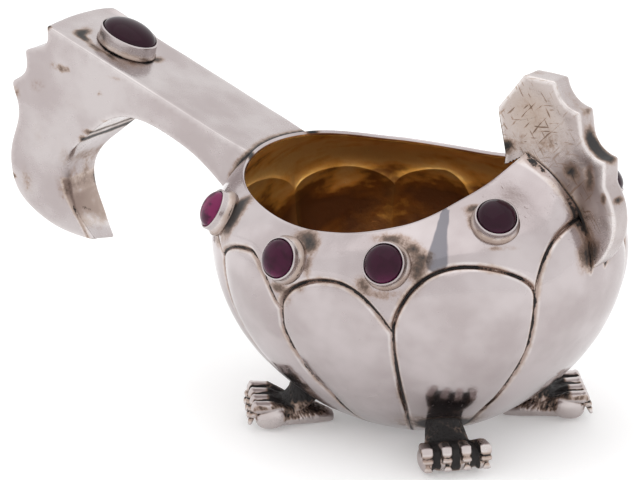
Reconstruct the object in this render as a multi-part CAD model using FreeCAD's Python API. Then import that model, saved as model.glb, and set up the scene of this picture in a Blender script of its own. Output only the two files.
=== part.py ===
import FreeCAD, Part
import math
import os
from FreeCAD import Matrix, Placement, Rotation, Vector

# Small silver bowl on four paw feet, with a hooked handle, a scalloped prow and domed stones.
# The bowl's axis is the Z axis, +X points to the prow, +Y to its left and z = 0 is the table.
# All sizes are millimetres. Names that end in share or shares are parts of a named size.

# Bowl
BODY_HALF_LENGTH = 47.3
BODY_HALF_WIDTH = 40.8
PLAN_POWER = 2.2
WIDEST_Z = 42.5
BELLY_DEPTH = 43.3
BELLY_FRONT_POWER = 1.82
BELLY_BACK_POWER = 1.96
SHOULDER_POWER = 2.3
BOTTOM_Z = 1.5
WALL = 1.0
RIM_SIDE_Z = 52.8
RIM_PROW_Z = 69.5
RIM_ROUND_SHARE = 0.6
GROOVE_DEPTH = 0.9
SOLDER_GAP = 0.05

# Rim, by angle from the prow: share of the body's radius there, and share of the rise to the prow
RIM_SHARES = (
    (0, 0.652, 1.0), (14, 0.587, 0.72), (36, 0.659, 0.51), (62, 0.809, 0.22), (85, 0.852, 0.042),
    (100, 0.861, 0.0), (135, 0.841, 0.102), (165, 0.851, 0.28), (180, 0.858, 0.31),
)

# Petals: angles of the grooves between them, the elevation angle where each groove starts,
# and the elevation angle of each petal's top, all seen from the bowl's widest level
GROOVE_ANGLES = (22.5, 62, 101, 132, 164)
GROOVE_TOP_ELEVATIONS = (0, -11, -7.5, -2, -2)
PETAL_TOP_ELEVATIONS = (18, 10.5, 3, 5, 5, 6)

# Where the surface rows and columns lie, as shares of a petal's height and half width
PETAL_ROW_SHARES = (0.0, 0.14, 0.36, 0.62, 0.86, 0.97)
SHOULDER_ROW_SHARES = (0.0, 0.14, 0.5, 0.9, 1.0)
PETAL_COLUMN_SHARES = (-1.0, -0.86, -0.45, 0.0, 0.45, 0.86)
GROOVE_FADE_SHARE = 0.36
SHOULDER_RISE_SHARE = 0.18

# Handle: hollow, of sheet, with a hooked end that narrows to a blunt tip
HANDLE_REACH = 67.1
HANDLE_TIP_DROP = 18.0
HANDLE_TIP_Z = WIDEST_Z - HANDLE_TIP_DROP
HANDLE_HEIGHT = 53.3
HANDLE_HALF_WIDTH = 10.9
HOOK_TIP_HALF_WIDTH = 3.6
HOOK_TAPER_HEIGHT = 35.5
HANDLE_TOP_ANGLE = 18.9
SHEET = 1.0
HANDLE_INSET = 8.0

# Handle outline in shares of its reach past the bowl and of its height above the hook's tip
HANDLE_END_SHARE = (0.758, 1.0)
HANDLE_STEP_SHARES = (
    ((0.781, 0.902), (0.864, 0.868)),
    ((0.863, 0.827), None),
    ((0.872, 0.752), (0.927, 0.711)),
)
HANDLE_BACK_SHARES = (
    (0.927, 0.711), (0.918, 0.594), (0.937, 0.491), (0.979, 0.385), (1.0, 0.261), (0.985, 0.165),
    (0.93, 0.09), (0.806, 0.019), (0.649, 0.0),
)
HANDLE_UNDER_SHARES = (
    (0.649, 0.0), (0.703, 0.088), (0.754, 0.195), (0.778, 0.308), (0.755, 0.393), (0.685, 0.455),
    (0.606, 0.523), (0.534, 0.594), (0.451, 0.65), (0.36, 0.66), (0.231, 0.615), (0.112, 0.53),
    (0.0, 0.393),
)
HOOK_SEAM_SHARE = 0.66
HOOK_SEAM_CUT_SHARE = (0.66, 0.2)

# Prow: a hollow upright fin with two scallops, astride the rim
PROW_INSET = 25.0
PROW_INNER_X = BODY_HALF_LENGTH - PROW_INSET
PROW_DEPTH = 30.5
PROW_FOOT_LIFT = 2.6
PROW_FOOT_Z = WIDEST_Z + PROW_FOOT_LIFT
PROW_HEIGHT = 40.9
PROW_HALF_THICKNESS = 2.8
PROW_SHARES = (
    (0.05, 0.4), (0.069, 0.543), (0.0, 0.792), (0.22, 1.0), (0.482, 0.995),
)
PROW_SCALLOP_SHARES = (
    ((0.482, 0.995), (0.548, 0.897), (0.689, 0.853)),
    ((0.711, 0.743), (0.774, 0.655), (0.908, 0.611)),
    ((0.908, 0.477), (1.0, 0.276), (0.79, 0.0)),
)
PROW_ROOT_SHARE = (0.55, 0.0)
LID_LIFT = 16.5
LID_Z = WIDEST_Z + LID_LIFT
LID_ROW_SHARES = (0.97, 0.5, 0.1)

# Feet: four cast paws
FOOT_ANGLE = 41.8
FOOT_TIP_INSET = 5.9
FOOT_LENGTH = 22.5
FOOT_HALF_WIDTH = 8.1
FOOT_HEIGHT = 8.7
ANKLE_RADIUS = 4.4
ANKLE_SPREAD = 1.4
ANKLE_HEIGHT = 9.5
SOLE_TRIM = 0.3
TOE_RADIUS = 1.6
TOE_COUNT = 4

# Foot sections from heel to toes: place along the foot, half width and height
FOOT_SECTION_SHARES = (
    (0.0, 0.24, 0.14), (0.25, 0.5, 0.48), (0.5, 0.74, 0.6), (0.72, 0.9, 0.72), (0.83, 0.92, 0.64),
)
# Half of a section's outline, from the sole to the crown, as shares of its half width and height
FOOT_ARCH_SHARES = ((0.66, 0.0), (0.93, 0.2), (1.0, 0.5), (0.82, 0.88), (0.35, 1.0))
ANKLE_SHARE = (0.38, 0.2)
ANKLE_LEAN_SHARE = 0.3
# Toe joints as place along the foot and height, and their radii as shares of the toe's radius
TOE_FAN_SHARE = 0.76
TOE_SHARES = ((0.6, 0.6), (0.855, 0.76), 0.9, 1.0)
CLAW_SHARES = ((0.905, 0.47), (0.962, 0.26), 0.82, 0.4)

# Round stones and their bezels
STONE_RADIUS = 4.2
STONE_DOME = 2.7
BEZEL_WALL = 0.5
BEZEL_HEIGHT = 2.6
BEZEL_FLOOR = 0.8
BEZEL_FLARE = 0.6
BEZEL_FLARE_HEIGHT = 0.9
BEZEL_ROOT = 2.5
STONE_GIRDLE = 1.4
STONE_FIT = 0.02
STONE_NAMES = ("prow", "fore", "mid", "tail")
STONE_ANGLES = (30.5, 65, 101, 140)
STONE_HEIGHT_SHARES = (0.65, 0.48, 0.38, 0.49)
LEFT_STONE_DROP = 1.8

# Oval stone on top of the handle, its long way along the handle
OVAL_HALF_LENGTH = 6.9
OVAL_HALF_WIDTH = 5.2
OVAL_DOME = 2.9
OVAL_BEZEL_HEIGHT = 3.6
OVAL_FROM_END = 15.3


def curve_through(stations, angle):
    """Value at an angle on a smooth curve through stations, the same on both sides of the bowl."""
    angle = abs((angle + 180) % 360 - 180)
    mirrored = [(-stations[1][0], stations[1][1])] + list(stations)
    mirrored.append((360 - stations[-2][0], stations[-2][1]))
    i = 1
    while i < len(mirrored) - 3 and angle > mirrored[i + 1][0]:
        i += 1
    (a0, v0), (a1, v1), (a2, v2), (a3, v3) = mirrored[i - 1:i + 3]
    span = a2 - a1
    t = (angle - a1) / span
    slope_in = limited_slope(a0, v0, a1, v1, a2, v2) * span
    slope_out = limited_slope(a1, v1, a2, v2, a3, v3) * span
    rise = v2 - v1
    cubic = slope_in + slope_out - 2 * rise
    square = 3 * rise - 2 * slope_in - slope_out
    return v1 + t * (slope_in + t * (square + t * cubic))


def limited_slope(a0, v0, a1, v1, a2, v2):
    """Slope at a middle station, flat at a peak or dip, so that the curve doesn't overshoot."""
    before = (v1 - v0) / (a1 - a0)
    after = (v2 - v1) / (a2 - a1)
    if before * after <= 0:
        return 0
    return 2 * before * after / (before + after)


def body_radius(angle):
    """Radius of the bowl's oval plan at its widest level."""
    a = math.radians(angle)
    along = abs(math.cos(a)) / BODY_HALF_LENGTH
    across = abs(math.sin(a)) / BODY_HALF_WIDTH
    return (along ** PLAN_POWER + across ** PLAN_POWER) ** (-1 / PLAN_POWER)


def rim_radius(angle):
    return body_radius(angle) * curve_through([(a, r) for a, r, z in RIM_SHARES], angle)


def rim_z(angle):
    share = curve_through([(a, z) for a, r, z in RIM_SHARES], angle)
    return RIM_SIDE_Z + (RIM_PROW_Z - RIM_SIDE_Z) * share


def belly_power(angle):
    """How full the belly's curve is, a little fuller towards the handle."""
    middle = (BELLY_FRONT_POWER + BELLY_BACK_POWER) / 2
    return middle + (BELLY_FRONT_POWER - middle) * math.cos(math.radians(angle))


def rim_elevation(angle):
    return math.degrees(math.atan2(rim_z(angle) - WIDEST_Z, rim_radius(angle)))


def bottom_radius(angle):
    """Radius at which the belly curve reaches the flat bottom."""
    drop = (WIDEST_Z - BOTTOM_Z) / BELLY_DEPTH
    power = belly_power(angle)
    return body_radius(angle) * (1 - drop ** power) ** (1 / power)


def bottom_elevation(angle):
    return math.degrees(math.atan2(BOTTOM_Z - WIDEST_Z, bottom_radius(angle)))


def smooth_point(angle, elevation):
    """Point of the bowl's smooth outer form, by angle round it and elevation from its widest level."""
    e = math.radians(elevation)
    wide = body_radius(angle)
    if elevation < 0:
        power = belly_power(angle)
        height = BELLY_DEPTH
    else:
        power = SHOULDER_POWER
        share = rim_radius(angle) / wide
        height = (rim_z(angle) - WIDEST_Z) / (1 - share ** power) ** (1 / power)
    reach = (math.cos(e) / wide) ** power + (abs(math.sin(e)) / height) ** power
    distance = reach ** (-1 / power)
    r = distance * math.cos(e)
    a = math.radians(angle)
    return Vector(r * math.cos(a), r * math.sin(a), WIDEST_Z + distance * math.sin(e))


def smooth_normal(angle, elevation):
    """Outward normal of the smooth form, from the points beside it."""
    step = 0.5
    along = smooth_point(angle + step, elevation) - smooth_point(angle - step, elevation)
    up = smooth_point(angle, elevation + step) - smooth_point(angle, elevation - step)
    return along.cross(up).normalize()


def petals():
    """Every petal as start angle, end angle, groove elevations at both and top elevation."""
    angles = [-GROOVE_ANGLES[0]] + list(GROOVE_ANGLES)
    tops = [GROOVE_TOP_ELEVATIONS[0]] + list(GROOVE_TOP_ELEVATIONS)
    angles += [360 - a for a in reversed(GROOVE_ANGLES)]
    tops += list(reversed(GROOVE_TOP_ELEVATIONS))
    crowns = list(PETAL_TOP_ELEVATIONS) + list(reversed(PETAL_TOP_ELEVATIONS[1:-1]))
    return [
        (angles[i], angles[i + 1], tops[i], tops[i + 1], crowns[i])
        for i in range(len(crowns))
    ]


def petal_columns():
    """Columns of the surface, round the bowl: angle, place across the petal and outline elevation."""
    columns = []
    for start, end, start_top, end_top, crown in petals():
        for share in PETAL_COLUMN_SHARES:
            angle = start + (end - start) * (share + 1) / 2
            edge = start_top + (end_top - start_top) * (share + 1) / 2
            arch = math.sqrt(1 - share * share)
            columns.append((angle, share, edge + (crown - edge) * arch))
    return columns


def groove_offset(across, up):
    """How far the surface lies below the smooth form, by the place across and up a petal."""
    side = math.sqrt(max(0, 1 - across * across))
    top = math.sqrt(max(0, 1 - up ** 6))
    fade = min(1, up / GROOVE_FADE_SHARE)
    return -GROOVE_DEPTH * (1 - side * top) * fade


def shoulder_offset(up):
    rise = min(1, up / SHOULDER_RISE_SHARE)
    return -GROOVE_DEPTH * (1 - math.sqrt(rise))


def wall_row(kind, share, inset):
    """One row of points round the bowl, inset from the outer surface."""
    row = []
    for angle, across, outline in petal_columns():
        low = bottom_elevation(angle)
        if kind == "petal":
            elevation = low + (outline - low) * share
            offset = groove_offset(across, share)
        else:
            elevation = outline + (rim_elevation(angle) - outline) * share
            offset = shoulder_offset(share)
        point = smooth_point(angle, elevation)
        normal = smooth_normal(angle, elevation)
        if kind == "petal" and share == 0:
            flat = Vector(normal.x, normal.y, 0).normalize()
            row.append(Vector(point.x, point.y, BOTTOM_Z + inset) - flat * inset)
        else:
            row.append(point + normal * (offset - inset))
    return row


def outer_rows(inset):
    rows = [wall_row("petal", share, inset) for share in PETAL_ROW_SHARES]
    rows += [wall_row("shoulder", share, inset) for share in SHOULDER_ROW_SHARES]
    return rows


def band_face(rows):
    """Smooth face from rows of poles that each go all the way round."""
    columns = len(rows[0])
    poles = [[row[i] for row in rows] for i in range(columns)]
    degree = 3
    spans = len(rows) - degree
    row_mults = [degree + 1] + [1] * (spans - 1) + [degree + 1]
    surface = Part.BSplineSurface()
    surface.buildFromPolesMultsKnots(
        poles, [1] * (columns + 1), row_mults, list(range(columns + 1)), list(range(spans + 1)),
        True, False, degree, degree,
    )
    return surface.toShape()


def bands_to_solid(bands):
    """Closed solid from bands of rows that follow on; the first and the last row are flat."""
    faces = [band_face(rows) for rows in bands]
    ends = []
    for face in (faces[0], faces[-1]):
        for edge in face.Edges:
            if edge.isClosed() and edge.BoundBox.ZLength < SOLDER_GAP:
                ends.append(Part.Face(Part.Wire([edge])))
    shell = Part.Shell(faces + ends)
    shell.sewShape()
    solid = Part.Solid(shell)
    if solid.Volume < 0:
        solid.reverse()
    return solid


def bowl():
    """The bowl: petalled outer wall, rounded rim and the same form inside, all one sheet."""
    outside = outer_rows(0)
    inside = outer_rows(WALL)
    lift = Vector(0, 0, WALL * RIM_ROUND_SHARE)
    rim = [outside[-1], [p + lift for p in outside[-1]], [p + lift for p in inside[-1]], inside[-1]]
    return bands_to_solid([outside, rim, list(reversed(inside))])


def seat_solid():
    """The space that the bowl takes, filled and carried up from the rim, to trim what is soldered on."""
    rows = outer_rows(-SOLDER_GAP)
    top_z = RIM_PROW_Z + HANDLE_HEIGHT
    above = [Vector(p.x, p.y, p.z + WALL) for p in rows[-1]]
    higher = [Vector(p.x, p.y, top_z - WALL) for p in rows[-1]]
    top = [Vector(p.x, p.y, top_z) for p in rows[-1]]
    return bands_to_solid([rows + [above, higher, top]])


def lidded_solid():
    """The space that the bowl takes, filled, with a lid that dips from the rim to the middle."""
    rows = outer_rows(-SOLDER_GAP)
    rim = [Vector(p.x, p.y, p.z + SOLDER_GAP) for p in rows[-1]]
    centre = Vector(0, 0, LID_Z)
    edge_share, middle_share, centre_share = LID_ROW_SHARES
    rows.append([centre + (p - centre) * edge_share for p in rim])
    rows.append([centre + (p - centre) * middle_share for p in rim])
    rows.append([Vector(p.x * centre_share, p.y * centre_share, LID_Z) for p in rim])
    return bands_to_solid([rows])


def handle_point(share):
    x = -(BODY_HALF_LENGTH + HANDLE_REACH * share[0])
    return Vector(x, 0, HANDLE_TIP_Z + HANDLE_HEIGHT * share[1])


def spline_edge(points):
    curve = Part.BSplineCurve()
    curve.interpolate(points)
    return curve.toShape()


def line_edge(start, end):
    return Part.LineSegment(start, end).toShape()


def stepped_end_edges(shift):
    """Edges down the stepped end of the handle, all moved by one vector."""
    edges = []
    here = handle_point(HANDLE_END_SHARE) + shift
    for middle, last in HANDLE_STEP_SHARES:
        there = handle_point(last or middle) + shift
        if last:
            edges.append(Part.Arc(here, handle_point(middle) + shift, there).toShape())
        else:
            edges.append(line_edge(here, there))
        here = there
    return edges


def handle_outline():
    """Closed side view of the handle, from its top end round the hook to inside the bowl."""
    edges = stepped_end_edges(Vector(0, 0, 0))
    edges.append(spline_edge([handle_point(s) for s in HANDLE_BACK_SHARES]))
    edges.append(spline_edge([handle_point(s) for s in HANDLE_UNDER_SHARES]))
    end = handle_point(HANDLE_END_SHARE)
    under = handle_point(HANDLE_UNDER_SHARES[-1])
    inside = under + Vector(HANDLE_INSET, 0, -HANDLE_INSET)
    slope = math.tan(math.radians(HANDLE_TOP_ANGLE))
    inner_x = -BODY_HALF_LENGTH + 2 * HANDLE_INSET
    top = Vector(inner_x, 0, end.z - (inner_x - end.x) * slope)
    edges.append(line_edge(under, inside))
    edges.append(line_edge(inside, Vector(inner_x, 0, inside.z)))
    edges.append(line_edge(Vector(inner_x, 0, inside.z), top))
    edges.append(line_edge(top, end))
    return Part.Wire(edges)


def moved_sideways(points, distance):
    """Points of a curve in the XZ plane, each moved square to the curve, to its right hand side."""
    moved = []
    for i, point in enumerate(points):
        before = points[max(0, i - 1)]
        after = points[min(len(points) - 1, i + 1)]
        along = (after - before).normalize()
        moved.append(point + Vector(along.z, 0, -along.x) * distance)
    return moved


def carried_on(points, length):
    """The same points and one more past the last, on the way from the one before it."""
    return points + [points[-1] + (points[-1] - points[-2]).normalize() * length]


def under_ribbon():
    """Side view of what lies within one sheet of the underside, from the hook's tip to the bowl."""
    points = [handle_point(s) for s in HANDLE_UNDER_SHARES]
    points = list(reversed(carried_on(list(reversed(points)), SHEET)))
    points = carried_on(points, HANDLE_INSET)
    outer = moved_sideways(points, SHEET)
    inner = moved_sideways(points, -SHEET)
    return ribbon_face([spline_edge(outer)], [spline_edge(inner)])


def back_ribbon():
    """Side view of what lies within one sheet of the stepped end and of the hook's back."""
    step_shift = Vector(SHEET, 0, -SHEET)
    back = carried_on([handle_point(s) for s in HANDLE_BACK_SHARES], SHEET)
    outer_back = moved_sideways(back, SHEET)
    outer_back[0] = back[0] - step_shift
    inner_back = moved_sideways(back, -SHEET)
    inner_back[0] = back[0] + step_shift
    outer = stepped_end_edges(-step_shift) + [spline_edge(outer_back)]
    inner = stepped_end_edges(step_shift) + [spline_edge(inner_back)]
    return ribbon_face(outer, inner)


def ribbon_face(outer, inner):
    """Face between two chains of edges that start and end beside each other."""
    start = line_edge(outer[0].firstVertex().Point, inner[0].firstVertex().Point)
    end = line_edge(outer[-1].lastVertex().Point, inner[-1].lastVertex().Point)
    edges = Part.sortEdges(outer + [end] + inner + [start])[0]
    return Part.Face(Part.Wire(edges))


def extrude_both_ways(face, half):
    solid = face.extrude(Vector(0, 2 * half, 0))
    solid.translate(Vector(0, -half, 0))
    return solid


def taper_solid(inset):
    """Solid between the cheeks' planes: straight above, closing in along the hook to its tip."""
    taper_z = HANDLE_TIP_Z + HOOK_TAPER_HEIGHT
    wide = HANDLE_HALF_WIDTH - inset
    narrow = HOOK_TIP_HALF_WIDTH - inset
    slope = (wide - narrow) / HOOK_TAPER_HEIGHT
    low = narrow - slope * SHEET
    low_z = HANDLE_TIP_Z - SHEET
    top_z = HANDLE_TIP_Z + 2 * HANDLE_HEIGHT
    points = [
        Vector(0, -low, low_z), Vector(0, -wide, taper_z), Vector(0, -wide, top_z),
        Vector(0, wide, top_z), Vector(0, wide, taper_z), Vector(0, low, low_z),
    ]
    face = Part.Face(Part.makePolygon(points + points[:1]))
    length = 2 * (BODY_HALF_LENGTH + HANDLE_REACH)
    solid = face.extrude(Vector(length, 0, 0))
    solid.translate(Vector(-length, 0, 0))
    return solid


def handle_parts(seat):
    block = extrude_both_ways(Part.Face(handle_outline()), HANDLE_HALF_WIDTH)
    form = block.common(taper_solid(0))
    # The top plate is all that lies within one sheet of the sloping top
    long = 2 * (BODY_HALF_LENGTH + HANDLE_REACH)
    slab = Part.makeBox(long, long, long, Vector(-long / 2, -long / 2, -SHEET))
    slab.Placement = Placement(handle_point(HANDLE_END_SHARE), Rotation(Vector(0, 1, 0), HANDLE_TOP_ANGLE))
    under = form.cut(slab)
    between = under.common(taper_solid(SHEET))
    lower = between.common(extrude_both_ways(under_ribbon(), HANDLE_HALF_WIDTH))
    back = between.common(extrude_both_ways(back_ribbon(), HANDLE_HALF_WIDTH)).cut(lower)
    seam_x = handle_point((HOOK_SEAM_SHARE, 0)).x
    bowl_side = Part.makeBox(long, long, long, Vector(seam_x, -long / 2, -long / 2))
    tip_z = handle_point(HOOK_SEAM_CUT_SHARE).z
    arch_side = bowl_side.cut(Part.makeBox(long, long, long, Vector(-long / 2, -long / 2, tip_z - long)))
    parts = {
        "handle_top_plate": biggest(form.common(slab).cut(seat)),
        "handle_back_strip": biggest(back),
        "handle_arch_strip": biggest(lower.common(arch_side).cut(seat)),
        "handle_hook_strip": biggest(lower.cut(bowl_side)),
    }
    parts.update(cheek_pair("handle_cheek_", under.cut(taper_solid(SHEET)).cut(seat)))
    return parts


def cheek_pair(prefix, shape):
    """The largest solid on the right side, and its mirror image on the left."""
    right = max((s for s in shape.Solids if s.CenterOfMass.y < 0), key=lambda s: s.Volume)
    return {prefix + "left": mirrored(right), prefix + "right": right}


def biggest(shape):
    return max(shape.Solids, key=lambda s: s.Volume)


def prow_point(share):
    return Vector(PROW_INNER_X + PROW_DEPTH * share[0], 0, PROW_FOOT_Z + PROW_HEIGHT * share[1])


def prow_outline():
    """Closed side view of the prow fin, with its root inside the bowl."""
    points = [prow_point(s) for s in PROW_SHARES]
    edges = [line_edge(a, b) for a, b in zip(points, points[1:])]
    here = points[-1]
    for start, middle, end in PROW_SCALLOP_SHARES:
        first = prow_point(start)
        if (first - here).Length > SOLDER_GAP:
            edges.append(line_edge(here, first))
        here = prow_point(end)
        edges.append(Part.Arc(first, prow_point(middle), here).toShape())
    root = prow_point(PROW_ROOT_SHARE)
    edges.append(line_edge(here, root))
    edges.append(line_edge(root, points[0]))
    return Part.Wire(edges)


def prow_parts(lidded):
    face = Part.Face(prow_outline())
    inner_half = PROW_HALF_THICKNESS - SHEET
    whole = extrude_both_ways(face, PROW_HALF_THICKNESS)
    middle = extrude_both_ways(face, inner_half)
    core = extrude_both_ways(face.makeOffset2D(-SHEET), inner_half)
    cheeks = whole.cut(middle).cut(lidded)
    band = middle.cut(core).cut(lidded)
    parts = {"prow_edge_strip": biggest(band)}
    parts.update(cheek_pair("prow_cheek_", cheeks))
    return parts


def capsule(start, end, start_radius, end_radius):
    """Rod with round ends, tapering from one radius to the other, turned in one piece."""
    length = (end - start).Length
    diagonal = math.sqrt(0.5)
    low = Vector(0, 0, -start_radius)
    low_side = Vector(start_radius, 0, 0)
    high_side = Vector(end_radius, 0, length)
    high = Vector(0, 0, length + end_radius)
    low_middle = Vector(start_radius, 0, -start_radius) * diagonal
    high_middle = Vector(end_radius * diagonal, 0, length + end_radius * diagonal)
    outline = [
        Part.Arc(low, low_middle, low_side).toShape(), line_edge(low_side, high_side),
        Part.Arc(high_side, high_middle, high).toShape(), line_edge(high, low),
    ]
    rod = Part.Face(Part.Wire(outline)).revolve(Vector(0, 0, 0), Vector(0, 0, 1), 360)
    rod.Placement = Placement(start, Rotation(Vector(0, 0, 1), end - start))
    return rod


def heel_radius():
    """Distance of the heel from the bowl's axis; the toes' tips lie just inside the bowl's plan."""
    return body_radius(FOOT_ANGLE) - FOOT_TIP_INSET - FOOT_LENGTH


def foot_point(share, across):
    return Vector(heel_radius() + FOOT_LENGTH * share[0], across, FOOT_HEIGHT * share[1])


def foot_section(along, half_width, height):
    """Arched section across the foot, straight underneath."""
    x = heel_radius() + FOOT_LENGTH * along
    wide = FOOT_HALF_WIDTH * half_width
    high = FOOT_HEIGHT * height
    left = [Vector(x, wide * across, high * up) for across, up in FOOT_ARCH_SHARES]
    right = [Vector(x, -wide * across, high * up) for across, up in reversed(FOOT_ARCH_SHARES)]
    return Part.Wire([spline_edge(left + right), line_edge(right[-1], left[0])])


def foot():
    """One paw, its toes pointing along +X and its sole cut flat, before it is turned to its place."""
    body = Part.makeLoft([foot_section(*shares) for shares in FOOT_SECTION_SHARES], True)
    ankle_base = foot_point(ANKLE_SHARE, 0)
    ankle_axis = Vector(-ANKLE_HEIGHT * ANKLE_LEAN_SHARE, 0, ANKLE_HEIGHT)
    ankle = Part.makeCone(ANKLE_RADIUS, ANKLE_RADIUS * ANKLE_SPREAD, ANKLE_HEIGHT, ankle_base, ankle_axis)
    pieces = [ankle]
    pitch = 2 * (FOOT_HALF_WIDTH - TOE_RADIUS) / (TOE_COUNT - 1)
    for i in range(TOE_COUNT):
        across = -FOOT_HALF_WIDTH + TOE_RADIUS + pitch * i
        for fan, (start, end, start_share, end_share) in ((TOE_FAN_SHARE, TOE_SHARES), (1, CLAW_SHARES)):
            first = foot_point(start, across * fan)
            last = foot_point(end, across)
            pieces.append(capsule(first, last, TOE_RADIUS * start_share, TOE_RADIUS * end_share))
    paw = body.multiFuse(pieces)
    size = 2 * BODY_HALF_LENGTH
    ground = Part.makeBox(size, size, size, Vector(-size / 4, -size / 2, SOLE_TRIM - size))
    paw = paw.cut(ground)
    paw.translate(Vector(0, 0, -SOLE_TRIM))
    return paw


def foot_parts(seat):
    parts = {}
    paw = foot()
    for end, angle in (("fore", FOOT_ANGLE), ("tail", 180 - FOOT_ANGLE)):
        turned = paw.copy()
        turned.rotate(Vector(0, 0, 0), Vector(0, 0, 1), angle)
        left = biggest(turned.cut(seat))
        parts["foot_" + end + "_left"] = left
        parts["foot_" + end + "_right"] = mirrored(left)
    return parts


def mirrored(shape):
    return shape.mirror(Vector(0, 0, 0), Vector(0, 1, 0))


def revolved(points):
    """Solid of revolution about Z from its half section."""
    wire = Part.makePolygon(points + points[:1])
    return Part.Face(wire).revolve(Vector(0, 0, 0), Vector(0, 0, 1), 360)


def round_bezel():
    """Collar with a floor and a low flared foot, rooted below the surface that it stands on."""
    outer = STONE_RADIUS + STONE_FIT + BEZEL_WALL
    inner = STONE_RADIUS + STONE_FIT
    section = [
        Vector(0, 0, -BEZEL_ROOT), Vector(outer + BEZEL_FLARE, 0, -BEZEL_ROOT),
        Vector(outer + BEZEL_FLARE, 0, 0), Vector(outer, 0, BEZEL_FLARE_HEIGHT),
        Vector(outer, 0, BEZEL_HEIGHT), Vector(inner, 0, BEZEL_HEIGHT),
        Vector(inner, 0, BEZEL_FLOOR), Vector(0, 0, BEZEL_FLOOR),
    ]
    return revolved(section)


def round_stone():
    """Domed stone: a short straight girdle in the collar and a round dome above."""
    bottom = BEZEL_FLOOR + STONE_FIT
    girdle_top = bottom + STONE_GIRDLE
    sphere_radius = (STONE_RADIUS ** 2 + STONE_DOME ** 2) / (2 * STONE_DOME)
    girdle = Part.makeCylinder(STONE_RADIUS, STONE_GIRDLE, Vector(0, 0, bottom))
    dome = Part.makeSphere(sphere_radius, Vector(0, 0, girdle_top + STONE_DOME - sphere_radius))
    box_size = 4 * STONE_RADIUS
    upper = Part.makeBox(box_size, box_size, box_size, Vector(-box_size / 2, -box_size / 2, girdle_top))
    return girdle.fuse(dome.common(upper)).removeSplitter()


def stone_parts(seat):
    """Both rows of round stones; the left row sits a little lower, as it was set by hand."""
    parts = {}
    for side, sign, drop in (("_left", 1, LEFT_STONE_DROP), ("_right", -1, 0)):
        for name, angle, share in zip(STONE_NAMES, STONE_ANGLES, STONE_HEIGHT_SHARES):
            elevation = rim_elevation(angle) * share - math.degrees(drop / body_radius(angle))
            centre = smooth_point(sign * angle, elevation)
            turn = Rotation(Vector(0, 0, 1), smooth_normal(sign * angle, elevation))
            collar = round_bezel()
            collar.Placement = Placement(centre, turn)
            gem = round_stone()
            gem.Placement = Placement(centre, turn)
            parts["bezel_" + name + side] = biggest(collar.cut(seat))
            parts["stone_" + name + side] = gem
    return parts


def oval_prism(half_length, half_width, bottom, top):
    ellipse = Part.Ellipse(Vector(0, 0, bottom), half_length, half_width).toShape()
    return Part.Face(Part.Wire([ellipse])).extrude(Vector(0, 0, top - bottom))


def oval_parts():
    outer_length = OVAL_HALF_LENGTH + STONE_FIT + BEZEL_WALL
    outer_width = OVAL_HALF_WIDTH + STONE_FIT + BEZEL_WALL
    collar = oval_prism(outer_length, outer_width, 0, OVAL_BEZEL_HEIGHT)
    flare = BEZEL_FLARE / 2
    foot_ring = oval_prism(outer_length + flare, outer_width + flare, 0, flare)
    pocket_length = OVAL_HALF_LENGTH + STONE_FIT
    pocket_width = OVAL_HALF_WIDTH + STONE_FIT
    pocket = oval_prism(pocket_length, pocket_width, BEZEL_FLOOR, 2 * OVAL_BEZEL_HEIGHT)
    bezel = collar.fuse(foot_ring).cut(pocket)
    bottom = BEZEL_FLOOR + STONE_FIT
    girdle_top = OVAL_BEZEL_HEIGHT - BEZEL_WALL
    girdle = oval_prism(OVAL_HALF_LENGTH, OVAL_HALF_WIDTH, bottom, girdle_top)
    ball = Part.makeSphere(OVAL_HALF_LENGTH)
    squash = Matrix()
    squash.scale(Vector(1, OVAL_HALF_WIDTH / OVAL_HALF_LENGTH, OVAL_DOME / OVAL_HALF_LENGTH))
    dome = ball.transformGeometry(squash)
    dome.translate(Vector(0, 0, girdle_top))
    box_size = 4 * OVAL_HALF_LENGTH
    upper = Part.makeBox(box_size, box_size, box_size, Vector(-box_size / 2, -box_size / 2, girdle_top))
    stone = girdle.fuse(dome.common(upper))
    slope = math.radians(HANDLE_TOP_ANGLE)
    end = handle_point(HANDLE_END_SHARE)
    centre = end + Vector(math.cos(slope), 0, -math.sin(slope)) * OVAL_FROM_END
    lift = Vector(math.sin(slope), 0, math.cos(slope)) * STONE_FIT
    place = Placement(centre + lift, Rotation(Vector(0, 1, 0), HANDLE_TOP_ANGLE))
    bezel.Placement = place
    stone.Placement = place
    return {"bezel_handle": bezel, "stone_handle": biggest(stone)}


def all_parts():
    seat = seat_solid()
    parts = {"bowl": bowl()}
    parts.update(handle_parts(seat))
    parts.update(prow_parts(lidded_solid()))
    parts.update(foot_parts(seat))
    parts.update(stone_parts(seat))
    parts.update(oval_parts())
    return parts


def main():
    os.makedirs("parts", exist_ok=True)
    parts = all_parts()
    box = Part.makeCompound(list(parts.values())).optimalBoundingBox(False, False)
    centre_x = (box.XMin + box.XMax) / 2
    for name, shape in parts.items():
        shape.translate(Vector(-centre_x, 0, 0))
        shape.exportStep("parts/" + name + ".step")
        print(name, "volume", round(shape.Volume), "valid", shape.isValid(), "solids", len(shape.Solids))
    size = [round(length, 1) for length in (box.XLength, box.YLength, box.ZLength)]
    print("origin moved by", round(centre_x, 3), "size", size)


main()
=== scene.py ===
import math

import bmesh
import bpy
import numpy as np
from mathutils import Matrix, Vector, geometry, kdtree, noise


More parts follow.
